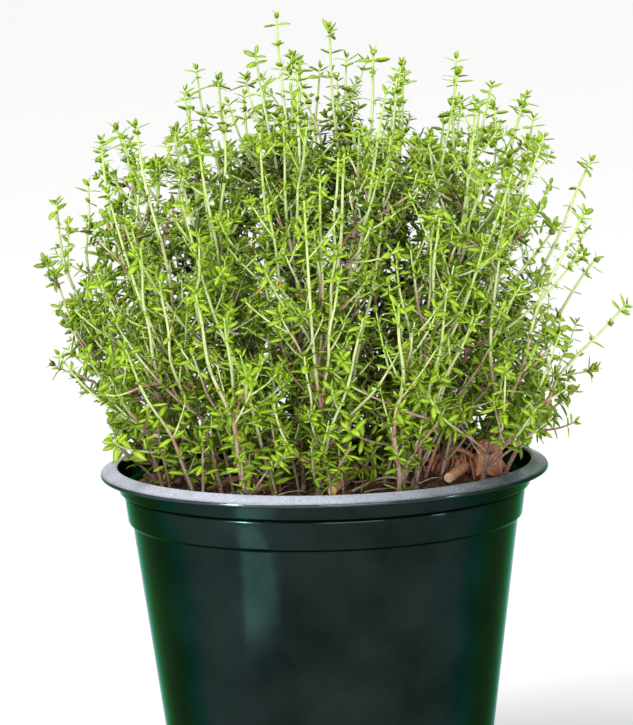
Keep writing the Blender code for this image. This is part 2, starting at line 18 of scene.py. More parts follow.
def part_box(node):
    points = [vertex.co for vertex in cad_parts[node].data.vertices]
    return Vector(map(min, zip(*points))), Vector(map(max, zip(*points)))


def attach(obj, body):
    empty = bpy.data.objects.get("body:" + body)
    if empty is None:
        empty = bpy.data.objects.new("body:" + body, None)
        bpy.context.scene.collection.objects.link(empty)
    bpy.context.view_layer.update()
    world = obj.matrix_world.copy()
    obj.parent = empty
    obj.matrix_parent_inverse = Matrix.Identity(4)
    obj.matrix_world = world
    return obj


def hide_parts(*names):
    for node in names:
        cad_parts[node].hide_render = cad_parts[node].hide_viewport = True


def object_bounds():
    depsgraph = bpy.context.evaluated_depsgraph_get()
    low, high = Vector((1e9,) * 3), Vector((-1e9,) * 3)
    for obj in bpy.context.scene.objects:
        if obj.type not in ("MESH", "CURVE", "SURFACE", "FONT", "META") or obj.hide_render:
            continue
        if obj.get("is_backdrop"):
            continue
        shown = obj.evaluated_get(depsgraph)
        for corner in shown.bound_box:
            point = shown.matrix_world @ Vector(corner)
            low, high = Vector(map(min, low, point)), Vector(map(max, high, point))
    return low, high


MM = 0.001
UP = Vector((0, 0, 1))
SQUARE = ((-1, -1), (1, -1), (1, 1), (-1, 1))
HALF_TURNS = (0, math.pi)
QUARTER = math.pi / 2


def mm(*sizes):
    return tuple(size * MM for size in sizes)


# Camera. The distance is to the lip's middle, and the pixels are in the 633 by 725 frame.
IMAGE = (633, 725)
SENSOR = 36.0
CAMERA_AWAY = 1.8
CAMERA_ELEVATION, CAMERA_ROLL = math.radians(9.4), math.radians(1.4)
LIP_PIXEL = (324.3, 464.5)
PIXEL_AT_LIP = 0.38 * MM

# Pot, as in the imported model: heights, radii, then thicknesses and edges
POT_HEIGHT = 135 * MM
LIP_CREST_Z = POT_HEIGHT - 1.8 * MM
FLANGE_Z = LIP_CREST_Z - 2.2 * MM
COLLAR_Z = POT_HEIGHT - 9.6 * MM
BAND_TOP_Z = COLLAR_Z - 1.2 * MM
STEP_Z = POT_HEIGHT - 22 * MM
LIP_R, LIP_INNER_R, COLLAR_TOP_R, COLLAR_FOOT_R, GROOVE_R = mm(85, 78.5, 79.4, 78, 75.4)
BAND_TOP_R, BAND_FOOT_R, WALL_TOP_R, POT_BASE_R, FOOT_INNER_R, DISC_R = mm(76.2, 74.9, 73.3, 58.5, 48.5, 30)
GAP, WALL, FLOOR, FOOT_Z = mm(0.3, 1.3, 1.5, 3)
LIP_EDGE, STEP_SLOPE, FOOT_BEVEL, CHANNEL_SLOPE = mm(0.8, 0.8, 1.2, 1.5)
DRAIN_COUNT = 8
DRAIN_LENGTH, DRAIN_WIDTH = mm(11, 3.6)
DRAIN_CUT_Z = (FOOT_Z - 2 * MM, FOOT_Z + 4 * MM)
POT_SIDES = 176
# How much of an edge a rounded corner takes, and its steps
ROUND_CUT, ROUND_STEPS = 0.42, 4

# Soil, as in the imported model, with crumbs on it: how fine and how high
SOIL_EDGE_Z = POT_HEIGHT - 9.5 * MM
SOIL_MOUND, SOIL_ROUGH, SOIL_GRAIN, HOLE_DEPTH = mm(5, 1.2, 17, 9)
SOIL_CLEAR = 2 * GAP
SOIL_SIDES = 200
SOIL_RING_STEP = 1.15 * MM
CRUMB_LEVELS = ((260, 0.9 * MM), (620, 0.55 * MM), (1400, 0.3 * MM))

# Thyme's skeleton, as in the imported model. A half width is half of the square stem's side.
WOOD_HALF, SHOOT_HALF, BRANCH_HALF = mm(0.95, 0.62), mm(0.6, 0.42), mm(0.58, 0.4)
WOOD_STEP, WOOD_BARE, WOOD_END = mm(18, 14, 4)
SHOOT_STEP, SHOOT_BARE, SHOOT_END = mm(16, 8, 11)
SHOOT_TUFT = mm(4.6, 1.6)
BRANCH_FIRST, BRANCH_BARE, BRANCH_STEP, BRANCH_END = mm(2, 12, 18, 9)
NODE_HALF, POINT, STEM_CLEAR = mm(0.6, 0.8, 0.5)
FOOT_RISE, OVER_SOIL, OVER_LIP, SWAY = mm(2, 1.5, 2, 2.2)
STEM_TRIES = 30
SEED = 11
# Noise vectors, which shape bark and straws, start from the clock unless they have a seed. This is part.py's.
BARK_SEED = 1796090545

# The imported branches, which fill the crown, the foliage's rounded outline, between the shoots
CROWN = Vector((2, -1, 210)) * MM
CROWN_HALF = Vector((99, 91, 88)) * MM
CROWN_RISE = (-0.62, 0.94)
CROWN_PLACES = 110
GOLDEN_TURN = math.pi * (3 - math.sqrt(5))
BRANCHES = 34
BRANCH_TRIES = 14
BRANCH_REACH = mm(34, 118)
BRANCH_LEAN = (math.radians(12), math.radians(68))
BRANCH_TIPS = (
    (-101, -10, 214), (-95, -10, 181), (-77, -50, 244), (95, -10, 149), (-78, -55, 153), (80, -56, 150),
)

# Stems: each one's foot on the soil and its shoot's tip, in mm, how much its top rights itself, and the share
# of it that is wood
Stem = namedtuple("Stem", "foot_x foot_y tip_x tip_y tip_z curl share")
STEMS = [Stem(*row) for row in (
    (-62, -6, -98, -10, 238, 1.0, 0.70), (-50, -30, -80, -24, 262, 0.8, 0.62),
    (-38, -48, -66, -44, 269, 0.6, 0.60), (-30, -8, -49, -5, 278, 0.5, 0.65),
    (-26, -29, -43, -54, 262, 0.4, 0.58), (-24, 22, -37, 30, 280, 0.4, 0.65),
    (-50, 28, -78, 46, 243, 0.6, 0.68), (-5, -12, -14, 0, 305, 0.3, 0.66), (9, 12, 6, 16, 299, 0.2, 0.68),
    (-8, -40, -12, -52, 270, 0.2, 0.60), (-4, 37, -6, 54, 283, 0.2, 0.68), (16, -9, 22, -5, 291, 0.2, 0.65),
    (-3, -58, 10, -68, 259, 0.2, 0.60), (25, 28, 34, 37, 279, 0.1, 0.66), (34, -38, 44, -70, 235, -0.2, 0.62),
    (38, 8, 67, 14, 276, -0.1, 0.65), (42, 44, 82, 54, 268, -0.2, 0.66), (44, -18, 85, -22, 259, -0.2, 0.62),
    (58, 2, 104, 12, 246, -0.3, 0.62), (58, -35, 98, -50, 234, -0.3, 0.6), (61, 26, 107, 34, 206, -0.4, 0.65),
    (67, -17, 115, -20, 195, -0.4, 0.6), (-22, 57, -28, 88, 268, 0.3, 0.68), (10, 60, 14, 90, 268, 0.1, 0.68),
    (36, 62, 54, 86, 250, -0.1, 0.66), (-28, -63, -45, -90, 212, 0.2, 0.62), (27, -62, 28, -94, 207, 0, 0.62),
)]

# Stems are woody low down: heights, the least age there, and how much the height varies from stem to stem
LOW_WOOD = (mm(134, 146, 172), (0.95, 0.64, 0.0))
LOW_WOOD_VARIES = 55 * MM
# A blade's rings: share of its length and of its half width. Its section: across and above, in half widths.
LEAF_RINGS = ((0.0, 0.18), (0.36, 1.0), (0.76, 0.8))
LEAF_SECTION = ((1, 0.0), (0, 0.3), (-1, 0.0))
# A shoot's last pairs: how far below its end, their share of the leaf's length, and how steeply they rise
TIP_PAIRS = ((3.6, 1.12, 0.2), (1.5, 0.92, 0.66), (0.4, 0.6, 1.1))
# Leaves are larger by the soil, and painted lighter in the lower crown as if lit from below: where each
# starts, and over what height
LARGE_LEAVES = mm(148, 44)
LOW_LEAVES_PAINTED_LIT = mm(195, 50)
# How leaves stand: bare length, spacing, leaf length and width, shares of leaves and tufts, tuft size, share
# of twigs, and age at the tip and at the foot
Habit = namedtuple("Habit", "bare spacing leaf width keep tuft tuft_size twigs young old")
TUFT_WOOD, TUFT_SHOOT = mm(3.0, 5.2), mm(2.0, 3.4)
WOOD_HABIT = Habit(4 * MM, 5.0 * MM, mm(3.9, 5.8), 0.38, 0.96, 0.86, TUFT_WOOD, 0.30, 0.55, 1.0)
SHOOT_HABIT = Habit(3 * MM, 9.2 * MM, mm(4.0, 5.7), 0.38, 1.0, 0.42, TUFT_SHOOT, 0.1, 0.04, 0.34)
DEEP_HABIT = Habit(3 * MM, 6.0 * MM, mm(4.0, 5.7), 0.38, 1.0, 0.6, TUFT_WOOD, 0.12, 0.15, 0.7)
TWIG_HABIT = Habit(3 * MM, 4.3 * MM, mm(3.2, 4.9), 0.38, 0.97, 0.28, TUFT_SHOOT, 0.06, 0.12, 0.8)
TWIG_MIN = 9 * MM
# Stems as round tubes: how far apart their rings are, how many sides, their radii from foot to tip, how far
# their twigs reach (a twig's own as a share of its reach), and the last leaves' least and most length in mm
Tube = namedtuple("Tube", "ring sides radii twigs tip")
WOOD = Tube(2.4 * MM, 8, mm(0.86, 0.74, 0.6), 26 * MM, None)
FOOT = Tube(4 * MM, 8, mm(0.8, 0.9), 0, None)
SHOOT = Tube(2.4 * MM, 6, mm(0.64, 0.55, 0.42), 24 * MM, (5.0, 6.4))
SPRIG = Tube(3 * MM, 5, mm(0.76, 0.68, 0.61, 0.54, 0.4), 20 * MM, (4.8, 6.2))
LOW_SPRIG = Tube(2.6 * MM, 5, mm(0.62, 0.46, 0.34), 10 * MM, (4.2, 6))
TWIG = Tube(3.4 * MM, 4, mm(0.46, 0.32), 0.5, (3.6, 5.4))
SPRIG_FOOT_TWIGS = 22 * MM
# How much a stem swells at a node, and how far to each side
KNOT = (0.18, 0.9 * MM)
# How far over the soil leaves are fewer
BARE_FEET = 18 * MM
# How far leaves keep from the pot's wall, the soil and the lip's outside, and a leaf's and a tuft's own room
LEAF_FROM_WALL, LEAF_OVER_SOIL, LEAF_OFF_LIP, LEAF_ROOM, TUFT_ROOM = mm(4, 1, 3, 6, 4)

# Sprigs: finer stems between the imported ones. Rises and depths place their tips on the crown or in it, flat
# lowers its top, side keeps tips that far from the middle plane, reach and lean say from how far and how far
# aside they fork, and soil is the share that starts there.
Sprigs = namedtuple("Sprigs", "count rises depths flat side reach lean soil")
LONG = Sprigs(125, (-0.4, 0.97), (0.84, 1.03), 0.97, 0, mm(50, 150), (0.0, 0.7), 0.2)
DEEP = Sprigs(180, (-0.75, 0.97), (0.5, 0.98), 0.78, 0, mm(20, 76), (0.2, 1.05), 0.06)
FLANK = Sprigs(120, (-0.72, 0.4), (0.86, 1.02), 1, 72 * MM, mm(20, 90), (0.1, 1.05), 0)
LOW_RIGHT = Sprigs(84, (-0.78, -0.42), (1.08, 1.26), 1, 72 * MM, mm(16, 84), (0.1, 1.25), 0)
SPRIG_GROUPS = 8
SPRIG_TRIES = 5
SPRIG_HALF, FORK_STEP, SOIL_ROOTS = mm(0.7, 5, 64)
SPRIG_AGES = {
    "deep": (0.95, 0.8, 0.62, 0.36, 0.1),
    "long": (0.95, 0.8, 0.35, 0.2, 0.05),
    "short": (0.8, 0.45, 0.22, 0.15, 0.05),
}
# Stems fan out from well under the soil on the left and from nearer on the right, where they lean more,
# and the crown leans a little left below and right on top
FAN_FEET = ((0, 90 * MM), mm(-60, 70))
CROWN_LEAN = (mm(200, 250), mm(-8, 4))
# Balls, as middle and half sizes. Both flanks are open at some height, where few sprigs end. So is the hollow
# at the right front, where the soil and its bark show between bare stems.
OPEN_FLANKS = (
    (Vector((105, 0, 224)) * MM, Vector((38, 120, 36)) * MM),
    (Vector((-106, 0, 226)) * MM, Vector((24, 120, 28)) * MM),
)
OPEN_KEPT = 0.12
HOLLOW = (Vector((52, -30, 132)) * MM, Vector((25, 34, 20)) * MM)
# Low sprigs: short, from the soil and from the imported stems' feet, where they lean out before they rise
LOW_SPRIGS = 110
LOW_REACH = mm(16, 44)
LOW_SPREAD = 68 * MM

# Colours of leaves and stems by age, and of soil by its grain
LEAF_SHADES = (
    (0.0, (0.45, 0.66, 0.03)), (0.22, (0.28, 0.44, 0.018)), (0.5, (0.118, 0.19, 0.010)),
    (0.75, (0.034, 0.068, 0.006)), (1.0, (0.012, 0.028, 0.004)),
)
SOIL_SHADES = ((0.3, (0.016, 0.009, 0.006)), (0.5, (0.10, 0.055, 0.033)), (0.72, (0.38, 0.21, 0.13)))
STEM_SHADES = (
    (0.0, (0.38, 0.56, 0.06)), (0.18, (0.53, 0.61, 0.27)), (0.4, (0.47, 0.51, 0.25)),
    (0.6, (0.40, 0.21, 0.15)), (0.8, (0.24, 0.105, 0.08)), (1.0, (0.27, 0.165, 0.12)),
)

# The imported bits, in mm: a stick's ends in plan and its radii, and a slab's middle, size, turn and tilt
STICKS = {
    "cut_twig": (((46.5, -24), (53.5, 0)), (1.8, 1.9)),
    "orange_stick": (((2.5, -46), (11.5, -8)), (1.7, 1.9)),
}
SLABS = {
    "bark_slab_1": ((62, -7), (9, 3.2, 12), 0.3, math.radians(10)),
    "bark_slab_2": ((42, 26), (18, 8, 7), -0.35, math.radians(8)),
}
STICK_SIDES, STICK_RINGS = 26, 30
SLAB_CUTS = 17
# Litter on the soil, out to a radius: how many bits, and their least and most size in mm, which is a chip's
# three sides, a crumb's radius, and a straw's length and half thickness. A fine crumb is a plainer ball.
LITTER_R = LIP_INNER_R - 7 * MM
CHIPS, CRUMBS, STRAWS = 210, 420, 70
CHIP_SIZE, CHIP_SQUARE = ((2.2, 7.5), (0.9, 2.6), (0.35, 0.9)), 0.45
CRUMB_SIZE, FINE_CRUMB = (0.5, 1.7), 1.2 * MM
STRAW_SIZE = ((5, 19), (0.16, 0.34))
# The larger lump of soil at the left: its place in plan and its radius, in mm
LEFT_LUMP = (-55, -11, 2.1)
# The straws and roots that show best in the photograph: ends in plan, half thickness and the middle's rise
PALE_STRAWS = (
    ((6, -42), (36, -22), 0.5, 3.0), ((58, -16), (65, -14), 0.4, 0.6), ((-36, -38), (-20, -30), 0.4, 1.5),
)
ROOTS = (
    ((28, 20), (56, 2), 1.0, 8.5), ((38, -2), (62, -5), 0.8, 9.5), ((24, -14), (47, 6), 0.7, 5.0),
    ((-44, -22), (-18, -36), 0.9, 5.0), ((-12, -30), (-30, -46), 0.7, 4.0), ((62, 22), (70, 2), 0.9, 6.0),
)
# Shreds of bark by the roots at the right front: how many, and their spread and middle in plan
HANGING = 46
HANG_SPREAD = Vector((15, 9)) * MM
HANG_MIDDLE = Vector((52, 2)) * MM

# Lights: suns by the way they come from, soft boxes by place and size, and low strips that only gloss shows,
# upright ones and one that lies before the pot, by place, size, power and turn
SUNS = (("overhead", (-0.5, -0.45, 1), 1.28), ("back", (0.4, 1.6, 1.15), 0.75))
SUN_WIDTH = math.radians(30)
BOXES = (("key", (-1.1, -1.3, 1.5), (0.8, 0.8), 24), ("front", (0.5, -1.9, 0.45), (1.2, 0.7), 24))
BOX_AIM = Vector((0, 0, 0.2))
STRIPS = (
    ("strip_left", (-0.95, -0.90, 0.22), (0.12, 0.42), 22, (QUARTER, 0, -0.81)),
    ("strip_right", (1.2, -0.55, 0.22), (0.10, 0.42), 4, (QUARTER, 0, 1.14)),
    ("strip_lying", (-0.190, -0.226, 0.004), (0.20, 0.075), 0.145, (math.pi, 0, 0.72)),
)
STRIP_COLOUR = (0.6, 1, 0.97)
WORLD_SOFT, WORLD_SEEN = 0.64, 0.93
FLOOR_COLOUR = (0.82, 0.82, 0.815, 1)


def clamp(value):
    return min(max(value, 0), 1)


def flat_way(turn):
    return Vector((math.cos(turn), math.sin(turn), 0))


def turned(side, over, angle):
    """A side turned by an angle towards the one over from it."""
    return side * math.cos(angle) + over * math.sin(angle)


def square_to(side, along):
    """A side made square to a stem's way along."""
    return (side - along * side.dot(along)).normalized()


def any_turn(rng):
    return rng.uniform(0, math.tau)


def scatter(rng, *spreads):
    """A small random step, with a spread for each axis."""
    return Vector([rng.gauss(0, spread) for spread in spreads])


def blended(values, share):
    """A row's value at a share of its length."""
    return np.interp(share, np.linspace(0, 1, len(values)), values)


def bezier(a, b, c, d, t):
    s = 1 - t
    return a * s**3 + b * (3 * s * s * t) + c * (3 * s * t * t) + d * t**3


def within(point, middle, half):
    return sum(((p - c) / h) ** 2 for p, c, h in zip(point, middle, half)) < 1


def add_object(name, data):
    made = bpy.data.objects.new(name, data)
    bpy.context.scene.collection.objects.link(made)
    return made


def keep_piece(piece, slot, *nodes):
    """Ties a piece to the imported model."""
    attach(piece, "root")
    if nodes:
        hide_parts(*nodes)


def place_camera():
    """Stands the camera so that the lip's middle falls on its pixel, at the photograph's angle and roll."""
    reach = CAMERA_AWAY / math.cos(CAMERA_ELEVATION)
    focal = reach / PIXEL_AT_LIP
    across, up = LIP_PIXEL[0] - IMAGE[0] / 2, IMAGE[1] / 2 - LIP_PIXEL[1]
    cos, sin = math.cos(CAMERA_ROLL), math.sin(CAMERA_ROLL)
    across, up = across * cos + up * sin, up * cos - across * sin
    pitch = CAMERA_ELEVATION - math.atan2(-up, focal)
    camera = add_object("camera", bpy.data.cameras.new("camera"))
    camera.data.sensor_width = SENSOR
    camera.data.lens = SENSOR * focal / IMAGE[1]
    height = LIP_CREST_Z + CAMERA_AWAY * math.tan(CAMERA_ELEVATION)
    camera.location = (-across / focal * reach, -CAMERA_AWAY, height)
    aim = Matrix.Rotation(QUARTER - pitch, 4, "X")
    camera.rotation_euler = (aim @ Matrix.Rotation(-CAMERA_ROLL, 4, "Z")).to_euler()
    bpy.context.scene.camera = camera


def soil_height(x, y):
    share = min(1, math.hypot(x, y) / BAND_TOP_R)
    rough = noise.noise(Vector((x, y, 0)) / SOIL_GRAIN) * SOIL_ROUGH * 2
    return SOIL_EDGE_Z + SOIL_MOUND * (1 - share**2) + rough * (1 - share**4)


def on_soil(x, y, above=0):
    return Vector((x, y, soil_height(x, y) + above))


def above_rim(points):
    """Whether some points stay over the soil and clear of the pot's lip."""
    for point in points:
        in_pot = math.hypot(point.x, point.y) < BAND_FOOT_R - 3 * WALL
        floor = soil_height(point.x, point.y) + OVER_SOIL if in_pot else POT_HEIGHT + OVER_LIP
        if point.z < floor:
            return False
    return True


def clear_of_pot(*points):
    """Whether all points are over the soil or outside the pot, and clear of its lip."""
    for point in points:
        reach = math.hypot(point.x, point.y)
        if reach < LIP_INNER_R - LEAF_FROM_WALL:
            if point.z <= soil_height(point.x, point.y) + LEAF_OVER_SOIL:
                return False
        elif point.z <= POT_HEIGHT + OVER_LIP and reach <= LIP_R + LEAF_OFF_LIP:
            return False
    return True


class Thicket:
    """Everything placed so far, as thick segments, so that what comes later stays clear of it."""

    def __init__(self):
        self.rows, self.owners = [], []

    def add(self, places, radii, owner=None):
        for low, high, radius in zip(places, places[1:], radii):
            self.rows.append((*low, *high, radius))
            self.owners.append(owner)

    def add_axis(self, axis):
        rings = axis.stations
        self.add([ring.place for ring in rings], [ring.half * math.sqrt(2) for ring in rings], axis.name)

    def add_path(self, path, radius):
        places = path.points[::5]
        self.add(places, [radius] * len(places))

    def room(self, points, radius, but=()):
        """The least clear distance from some points to all placed segments, but for some owners' own."""
        keep = [owner not in but for owner in self.owners]
        if not any(keep):
            return math.inf
        start, end, thick = np.split(np.array(self.rows)[keep], (3, 6), axis=1)
        run = end - start
        square = np.maximum((run**2).sum(1), 1e-12)
        least = math.inf
        for point in points:
            offset = np.array(point[:]) - start
            share = np.clip((offset * run).sum(1) / square, 0, 1)
            apart = np.linalg.norm(offset - run * share[:, None], axis=1) - thick[:, 0]
            least = min(least, apart.min())
        return least - radius


class Path:
    """A smooth line through space, read by the length along it."""

    SAMPLES = 60

    def __init__(self, place_at):
        self.points = [place_at(i / self.SAMPLES) for i in range(self.SAMPLES + 1)]
        self.reach = [0]
        for a, b in zip(self.points, self.points[1:]):
            self.reach.append(self.reach[-1] + (b - a).length)
        self.length = self.reach[-1]

    def at(self, length):
        length = min(max(length, 0), self.length)
        i = min(np.searchsorted(self.reach, length, side="right"), self.SAMPLES) - 1
        share = (length - self.reach[i]) / (self.reach[i + 1] - self.reach[i])
        return self.points[i].lerp(self.points[i + 1], share)

    def along(self, length):
        step = 1.5 * MM
        low = max(0, min(length - step, self.length - 2 * step))
        return (self.at(low + 2 * step) - self.at(low)).normalized()


Station = namedtuple("Station", "place along side across half")
Axis = namedtuple("Axis", "name stations nodes path start end grown")


def stem_path(stem, rng):
    """From the soil to the shoot's tip: upright, then over with the stem's lean, and curled at the top."""
    foot = Vector((stem.foot_x * MM, stem.foot_y * MM, 0))
    foot.z = soil_height(foot.x, foot.y) + FOOT_RISE
    tip = Vector((stem.tip_x, stem.tip_y, stem.tip_z)) * MM
    out = Vector((tip.x - foot.x, tip.y - foot.y, 0))
    rise = UP * (tip.z - foot.z)
    low = foot + out * (0.22 + 0.12 * stem.curl) + rise * 0.3
    high = tip - out * (1 - stem.curl) * 0.32 - rise * 0.32
    turns = [any_turn(rng) for _ in range(2)]

    def place_at(t):
        fade = math.sin(math.pi * t) ** 2
        sway = [math.sin(3.1 * math.pi * t + turn) * SWAY * fade for turn in turns]
        return bezier(foot, low, high, tip, t) + Vector((*sway, 0))

    return Path(place_at)


def stations_along(path, lengths, halves, side):
    """Square rings at some lengths along a path, each turned no more than the path turns."""
    made = []
    for length in lengths:
        along = path.along(length)
        side = square_to(side, along)
        share = (length - lengths[0]) / (lengths[-1] - lengths[0])
        half = halves[0] + (halves[1] - halves[0]) * share
        made.append(Station(path.at(length), along, side, along.cross(side), half))
    return made


def with_nodes(start, nodes, end):
    """The lengths of all rings, two to a node, and the index of each node's lower ring."""
    lengths, low_rings = [start], []
    for node in nodes:
        low_rings.append(len(lengths))
        lengths += [node - NODE_HALF, node + NODE_HALF]
    return lengths + [end], low_rings


def steps(start, end, step):
    """Even places from start, as many as fit before end."""
    return [start + i * step for i in range(int((end - start) / step) + 1)]


def wood_axis(name, path, share, turn):
    end = path.length * share
    lengths, nodes = with_nodes(0, steps(WOOD_BARE, end - WOOD_END, WOOD_STEP), end)
    stations = stations_along(path, lengths, WOOD_HALF, square_to(flat_way(turn), path.along(0)))
    buried = stations[0]
    side = Vector((buried.side.x, buried.side.y, 0)).normalized()
    foot = buried.place - UP * (HOLE_DEPTH + FOOT_RISE)
    bottom = Station(foot, UP, side, UP.cross(side), WOOD_HALF[0])
    upright = bottom._replace(place=buried.place)
    return Axis(name, [bottom, upright] + stations[1:], [n + 1 for n in nodes], path, 0, end, {})


def shoot_axis(name, path, share, last):
    start, end = path.length * share + GAP, path.length - POINT
    pairs = steps(start + SHOOT_BARE, end - SHOOT_END, SHOOT_STEP)
    lengths, nodes = with_nodes(start, pairs + [end - below for below in SHOOT_TUFT], end)
    return Axis(name, stations_along(path, lengths, SHOOT_HALF, last.side), nodes, path, start, end, {})


def face_outward(low, face):
    """The way a ring's face looks: faces 0 to 3 go round the square."""
    return (-low.across, low.side, low.across, -low.side)[face]


def branch_axis(name, host, node, face, tip):
    """A branch from one face of a host's node to a tip, which leaves sideways and turns up."""
    low, high = host.stations[node], host.stations[node + 1]
    outward = face_outward(low, face)
    start = (low.place + high.place) / 2 + outward * low.half
    reach = (tip - start).length
    rise = ((tip - start).normalized() + UP * 0.45).normalized()
    bend = start + (outward + low.along * 0.7) * reach * 0.24
    path = Path(lambda t: bezier(start, bend, tip - rise * reach * 0.36, tip, t))
    end = path.length - POINT
    pairs = steps(BRANCH_BARE, end - BRANCH_END, BRANCH_STEP)
    lengths, nodes = with_nodes(BRANCH_FIRST, pairs + [end - SHOOT_TUFT[1]], end)
    stations = stations_along(path, lengths, BRANCH_HALF, face_outward(low, (face + 1) % 4))
    return Axis(name, stations, nodes, path, 0, end, {})


def points_of(axis):
    """Places along an axis, close enough together to find anything that it nears."""
    found = []
    for low, high in zip(axis.stations, axis.stations[1:]):
        count = max(1, round((high.place - low.place).length / (2 * MM)))
        found += [low.place.lerp(high.place, i / count) for i in range(count)]
    return found + [axis.stations[-1].place]


def lay_out_stem(number, stem, thicket, rng):
    """One stem's wood and shoot, swayed so that both stay clear of the stems already there."""
    for _ in range(STEM_TRIES):
        path = stem_path(stem, rng)
        wood = wood_axis(f"wood_{number:02d}", path, stem.share, rng.uniform(0, QUARTER))
        shoot = shoot_axis(f"shoot_{number:02d}", path, stem.share, wood.stations[-1])
        if min(thicket.room(points_of(axis), WOOD_HALF[0] * 1.5) for axis in (wood, shoot)) > STEM_CLEAR:
            thicket.add_axis(wood)
            thicket.add_axis(shoot)
            return wood, shoot
    return None


def crown_place(i, places=CROWN_PLACES, rises=CROWN_RISE):
    """One of some places on the crown's skin, which are spread as seeds are in a sunflower."""
    rise = rises[0] + (rises[1] - rises[0]) * (i + 0.5) / places
    flat, turn = math.sqrt(1 - rise * rise), i * GOLDEN_TURN
    return CROWN + Vector((flat * math.cos(turn), flat * math.sin(turn), rise)) * CROWN_HALF


def in_reach(way, lean, reaches, leans):
    return reaches[0] < way.length < reaches[1] and leans[0] < lean < leans[1]


def forks(tip, woods):
    """The woody stems' free node faces from which a branch could reach a tip, the best ones first."""
    found = []
    for wood in woods:
        for node in wood.nodes[:-1]:
            low = wood.stations[node]
            way = tip - low.place
            lean = way.angle(low.along)
            if in_reach(way, lean, BRANCH_REACH, BRANCH_LEAN):
                face = max(range(4), key=lambda face: face_outward(low, face).dot(way))
                if (node, face) not in wood.grown:
                    found.append((way.length * (1 + lean), wood, node, face))
    return sorted(found, key=lambda fork: fork[0])[:BRANCH_TRIES]


def lay_out_branch(tip, woods, thicket):
    """A branch to one tip from the first fork that leaves it room, or none."""
    for _, wood, node, face in forks(tip, woods):
        branch = branch_axis(wood.name + "_branch", wood, node, face, tip)
        points = points_of(branch)
        apart = min(thicket.room(points[2:], BRANCH_HALF[0] * 1.5, (wood.name,)), thicket.room(points[7:], 0))
        if apart > STEM_CLEAR and above_rim(points):
            thicket.add_axis(branch)
            wood.grown[node, face] = branch
            return branch
    return None


def lay_out_branches(pairs, thicket):
    """The photo's own branch tips first, then the emptiest places on the crown, one by one."""
    woods = [wood for wood, _ in pairs]
    ends = [shoot.stations[-1].place for _, shoot in pairs]
    places = [crown_place(i) for i in range(CROWN_PLACES)]
    seen = [Vector(tip) * MM for tip in BRANCH_TIPS]
    laid = []
    while len(laid) < BRANCHES and (seen or places):
        tip = seen[0] if seen else max(places, key=lambda place: min((place - end).length for end in ends))
        (seen or places).remove(tip)
        branch = lay_out_branch(tip, woods, thicket)
        if branch:
            ends.append(tip)
            laid.append(branch)
    return laid


